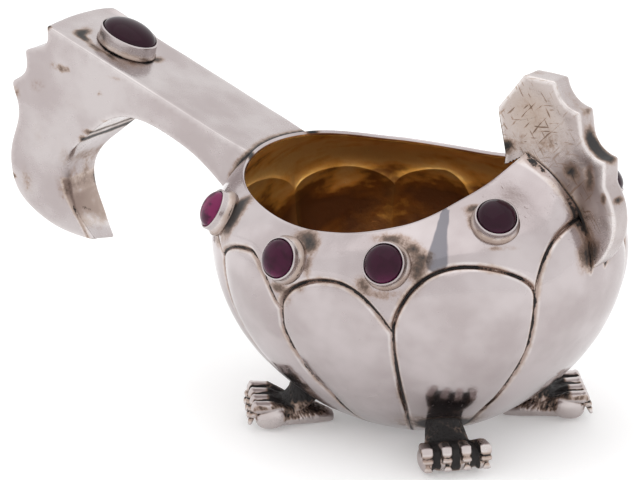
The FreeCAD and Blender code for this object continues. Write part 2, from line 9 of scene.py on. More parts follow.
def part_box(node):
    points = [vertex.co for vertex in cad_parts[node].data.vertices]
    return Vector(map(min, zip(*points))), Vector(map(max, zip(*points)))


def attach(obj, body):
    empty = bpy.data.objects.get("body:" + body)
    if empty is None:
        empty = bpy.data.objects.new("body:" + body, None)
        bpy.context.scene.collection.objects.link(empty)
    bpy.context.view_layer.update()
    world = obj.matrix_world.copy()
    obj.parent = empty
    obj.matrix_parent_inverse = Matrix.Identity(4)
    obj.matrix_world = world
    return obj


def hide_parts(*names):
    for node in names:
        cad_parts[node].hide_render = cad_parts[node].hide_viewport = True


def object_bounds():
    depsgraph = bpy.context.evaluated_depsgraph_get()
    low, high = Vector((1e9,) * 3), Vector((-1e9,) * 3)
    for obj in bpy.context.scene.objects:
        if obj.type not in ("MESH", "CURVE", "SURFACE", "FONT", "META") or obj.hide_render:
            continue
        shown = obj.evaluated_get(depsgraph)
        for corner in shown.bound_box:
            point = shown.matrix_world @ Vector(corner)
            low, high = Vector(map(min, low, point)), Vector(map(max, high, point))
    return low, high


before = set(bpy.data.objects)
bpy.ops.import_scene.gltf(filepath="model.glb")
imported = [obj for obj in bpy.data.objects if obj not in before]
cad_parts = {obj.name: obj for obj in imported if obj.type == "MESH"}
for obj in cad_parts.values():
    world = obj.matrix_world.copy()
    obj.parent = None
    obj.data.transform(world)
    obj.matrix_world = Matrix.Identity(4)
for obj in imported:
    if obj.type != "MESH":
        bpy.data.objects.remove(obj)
CAD_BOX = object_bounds()

# Sizes below are millimetres in the bowl's own axes: X to the prow, Z up from the table.
MM = 0.001
bowl_low, bowl_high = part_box("bowl")
AXIS_X = (bowl_low[0] + bowl_high[0]) / 2 / MM
# Distance that stands for nothing near, and size that stands for no limit
FAR = 99.0

# Bowl
BODY_HALF_LENGTH = 47.3
BODY_HALF_WIDTH = 40.8
PLAN_POWER = 2.2
WIDEST_Z = 42.5
BELLY_DEPTH = 43.3
BELLY_FRONT_POWER = 1.82
BELLY_BACK_POWER = 1.96
SHOULDER_POWER = 2.3
BOTTOM_Z = 1.5
WALL = 1.0
RIM_SIDE_Z = 52.8
RIM_PROW_Z = 69.5
RIM_SHARES = (
    (0, 0.652, 1.0), (14, 0.587, 0.72), (36, 0.659, 0.51), (62, 0.809, 0.22), (85, 0.852, 0.042),
    (100, 0.861, 0.0), (135, 0.841, 0.102), (165, 0.851, 0.28), (180, 0.858, 0.31),
)
GROOVE_ANGLES = (22.5, 62, 101, 132, 164)
GROOVE_TOP_ELEVATIONS = (0, -11, -10.5, -2, -2)
PETAL_TOP_ELEVATIONS = (18, 10.5, 3, 5, 5, 6)
# How steeply each petal's arch falls towards the prow: inner and outer powers
PETAL_FALLS = ((2, 0.5), (2, 0.5), (1.9, 0.95), (1.6, 1.5), (1.9, 0.8), (2, 0.5))
# Each groove's turn away from its angle, in degrees, at these elevations
BEND_ELEVATIONS = (-60, -48, -33, -17, -8)
GROOVE_BENDS = (
    (6, 5, 2.5, 0, 0), (-3, -2, -0.6, 0.8, 0.8), (-6, -4.5, 0.5, 3.2, 1.6),
    (-5, -3.5, 0, 1.5, 0.8), (-2, -1, 0, 0, 0),
)

# How the petals are pressed out
PETAL_DEPTH = 0.85
PETAL_REACH = 6.5
SHOULDER_REACH = 3.2
CUT_DEPTH = 0.42
CUT_WIDTH = 0.42
GROOVE_FADE_Z = (5.0, 14.0)
PETAL_COLUMNS = 42
PETAL_ROWS = 84
SHOULDER_ROWS = 56
BOTTOM_RINGS = 10
RIM_STEPS = 8
BOWL_WAVE = 0.09
# The wall is pressed in above the foot on the far side of the prow: depth, angles and elevations
SEAT_DEPTH = 3.2
SEAT_ANGLES = (4, 26, 62, 92)
SEAT_ELEVATIONS = (-74, -60, -50, -39)
FOOT_ANGLE = 41.8
FOOT_ANGLES = (FOOT_ANGLE, -FOOT_ANGLE, 180 - FOOT_ANGLE, FOOT_ANGLE - 180)

# Stains round each stone: place towards the prow and upwards, both half sizes and strength
STONE_STAINS = {
    "prow": ((-3.4, 4.6, 2.6, 1.1, 0.9), (-5.0, 1.5, 0.9, 2.5, 0.7), (0.5, -6.0, 4.0, 0.7, 0.4)),
    "fore": (
        (-0.5, 6.0, 4.0, 1.5, 1.0), (4.5, 4.4, 2.0, 1.6, 0.9), (6.8, -0.5, 2.0, 3.4, 0.9),
        (8.0, 3.0, 2.0, 1.6, 0.5), (-4.8, -4.8, 2.4, 2.0, 0.9), (-1.0, -6.4, 3.0, 1.0, 0.7),
        (4.0, -5.6, 3.0, 1.2, 0.6),
    ),
    "mid": (
        (2.2, 6.4, 3.0, 2.0, 1.1), (5.2, 4.6, 2.0, 2.0, 0.9), (6.4, 0.0, 1.1, 3.0, 0.6),
        (0.2, -8.5, 2.0, 2.6, 1.1), (-2.6, -6.4, 2.6, 1.1, 0.8), (4.0, -5.4, 2.0, 1.0, 0.7),
    ),
    "tail": ((6.2, 1.5, 2.6, 5.0, 1.3), (4.8, 5.0, 1.6, 2.4, 0.9), (1.0, -6.0, 3.0, 1.2, 0.7)),
}
# Painted dark reflection down the shoulder, as a smooth streak: its two ends and their half widths
PAINTED_REFLECTION_ENDS = (((23.4, 23.9, 58.9), 1.0), ((26.9, 31.8, 51.2), 2.4))
# Stains on the bowl beside the prow: place, sizes and strength, on both sides
PROW_WALL_STAINS = (((46.0, 4.4, 48.5), (3.0, 2.4, 3.0), 0.9), ((42.0, 4.0, 56.0), (4.0, 1.2, 6.0), 0.45))
# Where each ankle meets the bowl, round which the foot's reflection and shade are painted: distance from the
# axis and height
ANKLE_REACH = 25.0
ANKLE_Z = 6.5

# Handle
HANDLE_REACH = 67.1
HANDLE_TIP_Z = 24.5
HANDLE_HEIGHT = 53.3
HANDLE_HALF_WIDTH = 10.9
HOOK_TIP_HALF_WIDTH = 3.6
HOOK_TAPER_HEIGHT = 35.5
HANDLE_TOP_ANGLE = 18.9
HANDLE_END_SHARE = (0.758, 1.0)
HANDLE_STEP_SHARES = (
    ((0.758, 1.0), (0.757, 0.965), (0.757, 0.936), (0.765, 0.912), (0.79, 0.896), (0.862, 0.868)),
    ((0.862, 0.868), (0.857, 0.831), (0.856, 0.795), (0.863, 0.766), (0.883, 0.742), (0.925, 0.71)),
)
HANDLE_BACK_SHARES = (
    (0.925, 0.71), (0.912, 0.65), (0.908, 0.6), (0.916, 0.548), (0.936, 0.491), (0.976, 0.385),
    (0.995, 0.261), (0.981, 0.165), (0.928, 0.09), (0.806, 0.019), (0.655, 0.0),
)
HANDLE_UNDER_SHARES = (
    (0.648, 0.003), (0.697, 0.088), (0.738, 0.18), (0.75, 0.25), (0.746, 0.32), (0.722, 0.38),
    (0.675, 0.447), (0.606, 0.523), (0.534, 0.594), (0.451, 0.65), (0.36, 0.66), (0.231, 0.615),
    (0.112, 0.53), (0.0, 0.393),
)
HANDLE_ROOT = 14.0
HANDLE_EDGE = 0.4
HOOK_SOFT_EDGE = 3.0
HANDLE_WAVE = 0.12
# The top's free end bows out and its far corner is worn round
END_BOW = 1.3
END_WEAR = 2.2
# The hook's blunt tip hangs lower on the far side
TIP_DROOP = 0.75
# Creased line down the hook's inner edge, as (x, z), drawn as a dark line of painted shade
CREASE_SHADE_LINE = ((-98.2, 38.5), (-97.6, 35.2), (-95.8, 31.4), (-94.0, 27.6), (-93.0, 24.4))

# Stains on the handle: place and half sizes along X and Z, and strength
HANDLE_STAINS = (
    (-82.7, 64.1, 0.7, 0.6, 0.6), (-101.0, 62.7, 2.6, 2.0, 0.3), (-107.9, 59.7, 0.9, 1.7, 0.5),
    (-113.6, 37.0, 0.6, 0.8, 0.8), (-109.6, 36.5, 2.0, 4.5, 0.3), (-96.2, 44.0, 1.8, 4.5, 0.34),
    (-98.6, 36.5, 1.8, 4.5, 0.36), (-88.9, 50.8, 1.4, 1.2, 1.5), (-85.8, 53.4, 3.0, 0.7, 0.9),
    (-79.5, 57.2, 3.0, 0.6, 0.5), (-93.9, 68.0, 0.9, 0.8, 0.6), (-92.0, 68.3, 0.7, 0.7, 0.6),
    (-96.5, 68.4, 2.5, 1.2, 0.25), (-78.0, 68.4, 3.0, 0.5, 0.3), (-68.0, 60.2, 3.0, 0.5, 0.25),
    (-103.5, 50.0, 2.5, 6.0, 0.16), (-90.0, 60.0, 6.0, 4.0, 0.1),
)
# Stains on the sloping top: distance from its end, place across, both half sizes and strength
TOP_STAINS = (
    (6.0, -4.6, 1.3, 2.2, 1.1), (8.0, -6.8, 2.0, 1.0, 1.2), (12.5, -7.8, 2.4, 0.8, 1.0),
    (16.8, -7.4, 1.6, 0.6, 0.8), (23.4, 2.6, 1.1, 1.8, 0.9), (21.5, -4.6, 1.2, 1.2, 0.5),
    (20.0, -8.4, 3.5, 1.2, 0.35), (31.0, -2.0, 6.0, 1.0, 0.12), (37.0, 4.0, 5.0, 2.0, 0.1),
    (0.7, -10.6, 0.5, 0.5, 1.2), (4.0, 0.5, 2.2, 5.0, 0.12),
)

# Prow
PROW_INNER_X = 22.3
PROW_DEPTH = 30.5
PROW_FOOT_Z = 45.1
PROW_HEIGHT = 40.9
PROW_HALF_THICKNESS = 2.8
PROW_SHARES = ((0.05, 0.4), (0.069, 0.543), (0.0, 0.792), (0.22, 1.0))
PROW_SCALLOP_SHARES = (
    ((0.482, 0.995), (0.548, 0.897), (0.689, 0.853)),
    ((0.711, 0.743), (0.774, 0.655), (0.908, 0.611)),
    ((0.908, 0.477), (1.0, 0.276), (0.79, 0.0)),
)
PROW_ROOT_SHARE = (0.55, 0.0)
PROW_EDGE = 0.45
PROW_WAVE = 0.07
PROW_SINK = 0.2
# Dents and hollows on the prow's sides: place and half sizes along X and Z, and depth
PROW_DENTS = (
    (45.6, 67.5, 1.1, 2.0, 0.25), (41.6, 66.8, 1.6, 1.5, 0.25), (43.4, 59.5, 2.0, 5.5, 0.4),
    (45.6, 52.0, 1.9, 4.0, 0.4), (30.0, 74.0, 2.5, 3.5, 0.12), (34.0, 79.5, 3.0, 2.0, 0.12),
    (27.5, 81.0, 2.0, 2.5, 0.1), (36.0, 71.5, 2.4, 1.8, 0.1),
)
# Stains on the prow: place and half sizes along X and Z, and strength
PROW_STAINS = (
    (41.4, 66.4, 2.2, 1.9, 0.75), (46.2, 66.0, 1.2, 3.0, 0.75), (44.2, 61.0, 2.2, 5.0, 0.08),
    (44.6, 48.4, 2.0, 2.0, 0.5), (31.0, 77.0, 8.0, 7.5, 0.2),
    (23.5, 68.5, 2.4, 1.6, 0.8), (29.0, 71.0, 4.0, 2.0, 0.22), (37.0, 71.0, 5.0, 2.5, 0.24),
    (49.8, 62.0, 0.7, 1.2, 0.7), (25.0, 69.8, 1.6, 1.0, 0.6), (40.0, 60.0, 3.0, 4.0, 0.1),
)
# Stains on the prow's strip
PROW_STRIP_STAINS = (
    (30.5, 87.0, 2.0, 2.0, 0.3), (40.5, 82.2, 2.4, 3.2, 0.34), (43.8, 79.9, 1.6, 1.2, 0.45),
    (45.6, 73.0, 2.6, 3.4, 1.6), (48.6, 70.3, 2.2, 1.4, 1.3), (52.2, 61.5, 1.2, 0.8, 1.0),
)
LID_Z = 59.0

# Flat margin beside each rounded edge
EDGE_MARGIN = 0.15

# How far the soldered pieces reach into the wall, so that no gap shows
SEAT_OVERLAP = 0.35

STONE_NAMES = ("prow", "fore", "mid", "tail")
SIDES = ("left", "right")

# Camera: degrees from the near side towards the prow, degrees up, then millimetres
CAMERA_AZIMUTH = 36.5
CAMERA_ELEVATION = 18.7
CAMERA_DISTANCE = 880.0
CAMERA_TARGET = (-27.39, 0.0, 36.52)
CAMERA_LENS = 218.0
SENSOR_WIDTH = 36

# Floor and light, in metres and watts: each lamp's name, place, side and power
FLOOR_HALF_SIZE = 6.0
FLOOR_GREY = 0.84
FLOOR_GLOW = 0.2
SKY_STRENGTH = 1.2
LAMP_AIM = (0.02, 0, 0.04)
LAMPS = (("lamp_top", (0.0, -0.1, 0.8), 0.9, 0.8), ("lamp_left", (-0.7, -0.4, 0.45), 0.6, 0.12))

# How finely outlines are divided, and the two slabs: outline step, face grid and rings across
STEP_POINTS = 24
BACK_POINTS = 90
UNDER_POINTS = 120
SCALLOP_POINTS = 16
HANDLE_MESH = (0.6, 0.9, 20)
PROW_MESH = (0.4, 0.5, 10)

# Values kept at the vertices for the materials, and what each is where nothing is given; shade holds painted
# light and shade, and edge a painted highlight
MASKS = {"groove": 9.0, "stain": 0.0, "hollow": 0.0, "scuff": 0.0, "shade": 0.0, "edge": 0.0}


def smooth_curve(stations, angle):
    """Value on a smooth curve through (angle, value) stations, the same on both sides of the bowl."""
    angle = np.abs((np.asarray(angle, float) + 180) % 360 - 180)
    xs = np.array([-stations[1][0]] + [s[0] for s in stations] + [360 - stations[-2][0]], float)
    ys = np.array([stations[1][1]] + [s[1] for s in stations] + [stations[-2][1]], float)
    steepness = np.diff(ys) / np.diff(xs)
    before = steepness[:-1]
    after = steepness[1:]
    total = np.where(before * after > 0, before + after, 1)
    slope = np.where(before * after > 0, 2 * before * after / total, 0)
    i = np.clip(np.searchsorted(xs, angle) - 1, 1, len(xs) - 3)
    span = xs[i + 1] - xs[i]
    t = (angle - xs[i]) / span
    slope_in = slope[i - 1] * span
    slope_out = slope[i] * span
    rise = ys[i + 1] - ys[i]
    cubic = slope_in + slope_out - 2 * rise
    square = 3 * rise - 2 * slope_in - slope_out
    return ys[i] + t * (slope_in + t * (square + t * cubic))


def body_radius(angle):
    a = np.radians(angle)
    along = np.abs(np.cos(a)) / BODY_HALF_LENGTH
    across = np.abs(np.sin(a)) / BODY_HALF_WIDTH
    return (along ** PLAN_POWER + across ** PLAN_POWER) ** (-1 / PLAN_POWER)


def rim_radius(angle):
    return body_radius(angle) * smooth_curve([(a, r) for a, r, _ in RIM_SHARES], angle)


def rim_z(angle):
    share = smooth_curve([(a, z) for a, _, z in RIM_SHARES], angle)
    return RIM_SIDE_Z + (RIM_PROW_Z - RIM_SIDE_Z) * share


def rim_elevation(angle):
    return np.degrees(np.arctan2(rim_z(angle) - WIDEST_Z, rim_radius(angle)))


def belly_power(angle):
    middle = (BELLY_FRONT_POWER + BELLY_BACK_POWER) / 2
    return middle + (BELLY_FRONT_POWER - middle) * np.cos(np.radians(angle))


def bottom_elevation(angle):
    power = belly_power(angle)
    drop = (WIDEST_Z - BOTTOM_Z) / BELLY_DEPTH
    radius = body_radius(angle) * (1 - drop ** power) ** (1 / power)
    return np.degrees(np.arctan2(BOTTOM_Z - WIDEST_Z, radius))


def smooth_point(angle, elevation):
    """Points of the bowl's smooth outer form, by angle and by elevation from its widest level."""
    angle = np.asarray(angle, float)
    e = np.radians(elevation)
    wide = body_radius(angle)
    share = rim_radius(angle) / wide
    rise = (rim_z(angle) - WIDEST_Z) / (1 - share ** SHOULDER_POWER) ** (1 / SHOULDER_POWER)
    power = np.where(e < 0, belly_power(angle), SHOULDER_POWER)
    height = np.where(e < 0, BELLY_DEPTH, rise)
    reach = (np.cos(e) / wide) ** power + (np.abs(np.sin(e)) / height) ** power
    distance = reach ** (-1 / power)
    r = distance * np.cos(e)
    a = np.radians(angle)
    return np.stack([r * np.cos(a), r * np.sin(a), WIDEST_Z + distance * np.sin(e)], -1)


def smooth_normal(angle, elevation):
    step = 0.3
    along = smooth_point(angle + step, elevation) - smooth_point(angle - step, elevation)
    up = smooth_point(angle, elevation + step) - smooth_point(angle, elevation - step)
    out = np.cross(along, up)
    return out / np.linalg.norm(out, axis=-1, keepdims=True)


def petals():
    """Every petal as start angle, end angle, groove elevations at both and top elevation."""
    angles = [-GROOVE_ANGLES[0]] + list(GROOVE_ANGLES) + [360 - a for a in reversed(GROOVE_ANGLES)]
    tops = [GROOVE_TOP_ELEVATIONS[0]] + list(GROOVE_TOP_ELEVATIONS) + list(reversed(GROOVE_TOP_ELEVATIONS))
    crowns = list(PETAL_TOP_ELEVATIONS) + list(reversed(PETAL_TOP_ELEVATIONS[1:-1]))
    falls = list(PETAL_FALLS) + list(reversed(PETAL_FALLS[1:-1]))
    return [
        (angles[i], angles[i + 1], tops[i], tops[i + 1], crowns[i]) + falls[i]
        for i in range(len(crowns))
    ]


def petal_outline(petal, across):
    """Angle and elevation of a petal's arched outline, by the place across it from -1 to 1."""
    start, end, start_top, end_top, crown, inner, outer = petal
    angle = start + (end - start) * (across + 1) / 2
    edge = start_top + (end_top - start_top) * (across + 1) / 2
    round_arch = np.sqrt(np.maximum(0, 1 - across * across))
    fallen_arch = np.maximum(0, 1 - np.abs(across) ** inner) ** outer
    to_prow = across < 0 if end <= 180 else across > 0
    arch = np.where(to_prow, fallen_arch, round_arch)
    return angle, edge + (crown - edge) * arch


def bend(angle, elevation):
    """Angle moved sideways so that the grooves below the arches run in slight curves."""
    angle, elevation = np.broadcast_arrays(np.asarray(angle, float), np.asarray(elevation, float))
    turned = (angle + 180) % 360 - 180
    shifts = np.array([np.interp(elevation, BEND_ELEVATIONS + (0,), b + (0,)) for b in GROOVE_BENDS])
    knots = (0,) + GROOVE_ANGLES + (180,)
    shifts = np.concatenate([np.zeros((1,) + shifts.shape[1:]), shifts, np.zeros((1,) + shifts.shape[1:])])
    here = np.abs(turned)
    i = np.clip(np.searchsorted(knots, here, side="right") - 1, 0, len(knots) - 2)
    low, high = np.array(knots)[i], np.array(knots)[i + 1]
    t = (here - low) / (high - low)
    before = np.take_along_axis(shifts, i[None], 0)[0]
    after = np.take_along_axis(shifts, i[None] + 1, 0)[0]
    return angle + np.sign(turned) * (before + (after - before) * t)


def ramp(low, high, value):
    """Smooth step from 0 at low to 1 at high."""
    t = np.clip((value - low) / (high - low), 0, 1)
    return t * t * (3 - 2 * t)


def search_tree(points):
    tree = kdtree.KDTree(len(points))
    for i, p in enumerate(points):
        tree.insert(p, i)
    tree.balance()
    return tree


def groove_tree():
    """Search tree of points along every petal's outline and the grooves below."""
    points = []
    for petal in petals():
        across = np.sin(np.linspace(-math.pi / 2, math.pi / 2, 260))
        angle, elevation = petal_outline(petal, across)
        points.append(smooth_point(bend(angle, elevation), elevation))
        start, start_top = petal[0], petal[2]
        low = bottom_elevation(start)
        elevations = np.linspace(low, start_top, 160)
        points.append(smooth_point(bend(start, elevations), elevations))
    return search_tree(np.concatenate(points))


def nearest_distances(tree, points):
    return np.array([tree.find(p)[2] for p in points])


def waves(points, size, seed):
    """Soft uneven values from about -1 to 1 at each point."""
    shift = Vector((seed * 7.3, seed * 3.1, seed * 5.7))
    return np.array([noise.fractal(Vector(p) / size + shift, 0.6, 2.0, 2) for p in points])


def new_piece(name, points, faces, materials=(), face_slots=None):
    """Mesh object from points in millimetres about the bowl's axis."""
    places = np.array(points, float)
    places[:, 0] += AXIS_X
    mesh = bpy.data.meshes.new(name)
    mesh.from_pydata((places * MM).tolist(), [], [list(f) for f in faces])
    mesh.validate()
    piece = bpy.data.objects.new(name, mesh)
    bpy.context.scene.collection.objects.link(piece)
    for material in materials:
        mesh.materials.append(material)
    if face_slots is not None:
        mesh.polygons.foreach_set("material_index", face_slots)
    mesh.polygons.foreach_set("use_smooth", [True] * len(mesh.polygons))
    return piece


def set_masks(piece, **masks):
    """Stores the surface's dark lines, stains and hollows, and its painted light and shade, as values at its
    vertices.
    """
    count = len(piece.data.vertices)
    for name, usual in MASKS.items():
        values = np.full(count, usual) if masks.get(name) is None else np.asarray(masks[name], float)
        piece.data.attributes.new(name, "FLOAT", "POINT").data.foreach_set("value", values)


def spot(points, centre, sizes, strength, axes=None):
    """Soft spot of a strength at a place, with a size along each of three axes."""
    off = points - np.array(centre, float)
    if axes is not None:
        off = off @ np.array(axes, float).T
    return strength * np.exp(-((off / np.array(sizes, float)) ** 2).sum(1))


def directions(points):
    """Angle and elevation of points, seen from the bowl's middle."""
    flat = np.hypot(points[:, 0], points[:, 1])
    angle = np.degrees(np.arctan2(points[:, 1], points[:, 0]))
    return angle, np.degrees(np.arctan2(points[:, 2] - WIDEST_Z, flat))


def side_stains(points, stains, reach=FAR):
    """Soft spots by place and half sizes in the side view, reaching some way across."""
    return sum(spot(points, (x, 0, z), (a, reach, b), strength) for x, z, a, b, strength in stains)


def above_bowl(points):
    """How far points lie outside the bowl's smooth form, along the ray from its middle."""
    angle, elevation = directions(points)
    form = smooth_point(angle, np.minimum(elevation, rim_elevation(angle)))
    middle = np.array([0, 0, WIDEST_Z])
    return np.linalg.norm(points - middle, axis=1) - np.linalg.norm(form - middle, axis=1)


def wall_gap(points):
    """Like above_bowl, but large for points over the bowl's mouth."""
    angle, elevation = directions(points)
    return np.where(elevation < rim_elevation(angle) + 0.5, above_bowl(points), 9)


def points_of(mesh):
    """The mesh's vertices in millimetres about the bowl's axis."""
    found = np.empty(len(mesh.vertices) * 3)
    mesh.vertices.foreach_get("co", found)
    found = found.reshape(-1, 3) / MM
    found[:, 0] -= AXIS_X
    return found


def normals_of(mesh):
    found = np.empty(len(mesh.vertices) * 3)
    mesh.vertices.foreach_get("normal", found)
    return found.reshape(-1, 3)


def ring_faces(first, second):
    """Quads between two closed rings of vertex numbers."""
    n = len(first)
    return [(first[i], first[(i + 1) % n], second[(i + 1) % n], second[i]) for i in range(n)]


def closed_rings(rows, low_z, high_z):
    """Points and faces of a form of rings, closed to a point on the axis at both ends."""
    columns = len(rows[0])
    points = np.concatenate(rows + [np.array([[0, 0, low_z], [0, 0, high_z]])])
    numbers = np.arange(len(rows) * columns).reshape(len(rows), columns)
    faces = []
    for low, high in zip(numbers, numbers[1:]):
        faces += ring_faces(low, high)
    first, last = numbers[0], numbers[-1]
    pole = len(rows) * columns
    faces += [(first[(i + 1) % columns], first[i], pole) for i in range(columns)]
    faces += [(last[i], last[(i + 1) % columns], pole + 1) for i in range(columns)]
    return points, faces


def bowl_columns():
    """Angle and outline elevation of each column round the bowl."""
    across = np.sin(np.linspace(-math.pi / 2, math.pi / 2, PETAL_COLUMNS + 1)[:-1])
    return np.concatenate([petal_outline(petal, across) for petal in petals()], axis=1)


def wall_offset(distance, z, in_petal, cut):
    """Depth of the pressed and cut pattern, from the distance to the nearest outline."""
    reach = np.where(in_petal, PETAL_REACH, SHOULDER_REACH)
    near = np.clip(1 - distance / reach, 0, 1)
    pillow = PETAL_DEPTH * near ** 2.4
    line = cut * np.exp(-(distance / CUT_WIDTH) ** 2)
    fade = ramp(GROOVE_FADE_Z[0], GROOVE_FADE_Z[1], z)
    return -(pillow + line) * fade


def wall_rows(tree, side):
    """Rows of points up one side of the wall, with the distance of each to the nearest outline."""
    angle, outline = bowl_columns()
    t = np.linspace(0, 1, PETAL_ROWS)
    petal_shares = 1 - (1 - t) ** 1.7
    t = np.linspace(0, 1, SHOULDER_ROWS + 1)[1:]
    shoulder_shares = t ** 1.5
    low = bottom_elevation(angle)
    top = rim_elevation(angle)
    rows, distances = [], []
    for kind, share in [(True, s) for s in petal_shares] + [(False, s) for s in shoulder_shares]:
        elevation = low + (outline - low) * share if kind else outline + (top - outline) * share
        place = bend(angle, elevation)
        points = smooth_point(place, elevation)
        normals = smooth_normal(place, elevation)
        distance = nearest_distances(tree, points)
        cut = CUT_DEPTH if side == "outer" else 0
        offset = wall_offset(distance, points[:, 2], kind, cut)
        if side == "inner":
            offset = offset * 0.8 - WALL
        rows.append(points + normals * offset[:, None])
        distances.append(distance)
    return rows, distances


def bottom_rows(first_row, z):
    """Rings that close a side towards the middle of the bottom."""
    rows = []
    for k in range(1, BOTTOM_RINGS):
        share = 1 - k / BOTTOM_RINGS
        row = first_row * [share, share, 0]
        row[:, 2] = z + (first_row[:, 2] - z) * share ** 3
        rows.append(row)
    return rows


def rim_rows(outer, inner):
    """Round bead that joins the two sides along the rim."""
    middle = (outer + inner) / 2
    half = (outer - inner) / 2
    rows = []
    for k in range(1, RIM_STEPS):
        turn = math.pi * k / RIM_STEPS
        lift = np.linalg.norm(half, axis=1, keepdims=True) * math.sin(turn) * [[0, 0, 1.0]]
        rows.append(middle + half * math.cos(turn) + lift)
    return rows


def make_bowl(materials):
    """The whole bowl as one closed mesh: outer wall, rim and gilt inside."""
    tree = groove_tree()
    outer, outer_distance = wall_rows(tree, "outer")
    inner, inner_distance = wall_rows(tree, "inner")
    skip = slice(None, None, 2)
    outer_bottom = bottom_rows(outer[0], BOTTOM_Z)
    inner_bottom = bottom_rows(inner[0], BOTTOM_Z + WALL)
    rows = list(reversed(outer_bottom)) + outer + rim_rows(outer[-1], inner[-1])
    far = [np.full(len(outer[0]), FAR)]
    distances = far * len(outer_bottom) + outer_distance + far * (RIM_STEPS - 1)
    silver_rows = len(rows)
    inner = list(reversed(inner))[skip]
    inner_distance = list(reversed(inner_distance))[skip]
    rows += inner + inner_bottom[skip]
    distances += inner_distance + far * len(inner_bottom[skip])
    columns = len(rows[0])
    points, faces = closed_rings(rows, BOTTOM_Z, BOTTOM_Z + WALL)
    silver = silver_rows - 2
    gilt = len(rows) - 1 - silver
    slots = np.repeat([0] * silver + [1] * gilt + [0, 1], columns).tolist()
    groove = np.append(np.concatenate(distances), [FAR, FAR])
    points += (waves(points, 13, 1) * BOWL_WAVE - pressed_in(points))[:, None] * radial(points)
    piece = new_piece("bowl_body", points, faces, materials, slots)
    outside = np.append(np.repeat(np.arange(len(rows)) < silver_rows, columns), [True, False])
    seam = prow_seam(points)
    # The shade mask holds painted light: outside, a dark reflection streak down the shoulder; inside, the
    # gilding painted lighter towards the rim
    set_masks(
        piece, groove=np.where(outside, np.minimum(groove, seam), groove), stain=bowl_stain_and_foot_reflection(points) * outside,
        shade=np.where(outside, streak_shade(points), ramp(36.0, 48.0, points[:, 2])),
    )
    return piece


def streak_shade(points):
    """Strength of the painted dark reflection, a smooth streak on both sides of the shoulder."""
    mirrored = points * [1, 0, 1] + np.abs(points) * [0, 1, 0]
    (start, start_width), (end, end_width) = PAINTED_REFLECTION_ENDS
    start, along = np.array(start), np.array(end) - np.array(start)
    t = np.clip((mirrored - start) @ along / (along @ along), -0.1, 1.0)
    distance = np.linalg.norm(mirrored - start - t[:, None] * along, axis=1)
    return 1 - ramp(0.5, 1.35, distance / (start_width + (end_width - start_width) * t))


def bump_over(stations, values):
    """Smooth rise and fall over four stations."""
    return ramp(stations[0], stations[1], values) * (1 - ramp(stations[2], stations[3], values))


def pressed_in(points):
    """How far the wall is pressed in, at the direction of each point from the bowl's middle."""
    angle, elevation = directions(points)
    return SEAT_DEPTH * bump_over(SEAT_ANGLES, angle) * bump_over(SEAT_ELEVATIONS, elevation)


def radial(points):
    """Unit vectors from the bowl's middle through points."""
    out = points - [0, 0, WIDEST_Z]
    return out / np.linalg.norm(out, axis=1, keepdims=True)


def prow_seam(points):
    """Distance from the soldered line along the prow, on the bowl."""
    aside = np.abs(np.abs(points[:, 1]) - PROW_HALF_THICKNESS)
    near = (points[:, 0] > PROW_INNER_X) & (points[:, 2] > PROW_FOOT_Z)
    below = np.hypot(aside, np.maximum(0, PROW_FOOT_Z - points[:, 2]))
    second = np.abs(np.abs(points[:, 1]) - PROW_HALF_THICKNESS - 0.9) + 0.22
    return np.where(near, np.minimum(aside, second), np.where(points[:, 0] > PROW_INNER_X, below, FAR)) + 0.05


def stone_spots(points, spots):
    """Soft spots placed from the stones on both sides, towards the prow and upwards."""
    total = np.zeros(len(points))
    for name in spots:
        for side, sign in (("left", -1), ("right", 1)):
            centre, down = flat_disc("stone_" + name + "_" + side)
            out = -np.array(down)
            along = np.cross([0, 0, 1], out) * sign
            along /= np.linalg.norm(along)
            up = np.cross(out, along) * sign
            for a, b, size_a, size_b, strength in spots[name]:
                place = np.array(centre) + along * a + up * b
                total += spot(points, place, (size_a, size_b, 4.0), strength, (along, up, out))
    return total


def bowl_stain_and_foot_reflection(points):
    """Dark patches that were never polished off, round the collars, the handle and the prow, and the painted
    reflection and shade of each foot round its ankle.
    """
    stain = stone_spots(points, STONE_STAINS)
    aside = np.abs(np.abs(points[:, 1]) - HANDLE_HALF_WIDTH - 0.6)
    at_handle = (points[:, 0] < -30) & (points[:, 2] > 42)
    stain += 1.1 * np.exp(-(aside / 1.7) ** 2) * at_handle * ramp(42, 47, points[:, 2])
    within = at_handle & (np.abs(points[:, 1]) < HANDLE_HALF_WIDTH + 1)
    stain += 0.9 * np.exp(-((points[:, 2] - 44.0) / 1.6) ** 2) * within
    for sign in (-1, 1):
        for (x, y, z), sizes, strength in PROW_WALL_STAINS:
            stain += spot(points, (x, sign * y, z), sizes, strength)
    # Painted dark reflection and shade of each foot on the wall round its ankle
    for angle in FOOT_ANGLES:
        a = math.radians(angle)
        ankle = np.array([ANKLE_REACH * math.cos(a), ANKLE_REACH * math.sin(a), ANKLE_Z])
        distance = np.linalg.norm(points - ankle, axis=1)
        stain += 0.7 * (1 - ramp(4.0, 7.0, distance))
        axes = ((-math.sin(a), math.cos(a), 0), (0, 0, 1), (math.cos(a), math.sin(a), 0))
        stain += spot(points, ankle + [0, 0, 1.2], (10.0, 3.2, 9.0), 0.75, axes)
    return stain


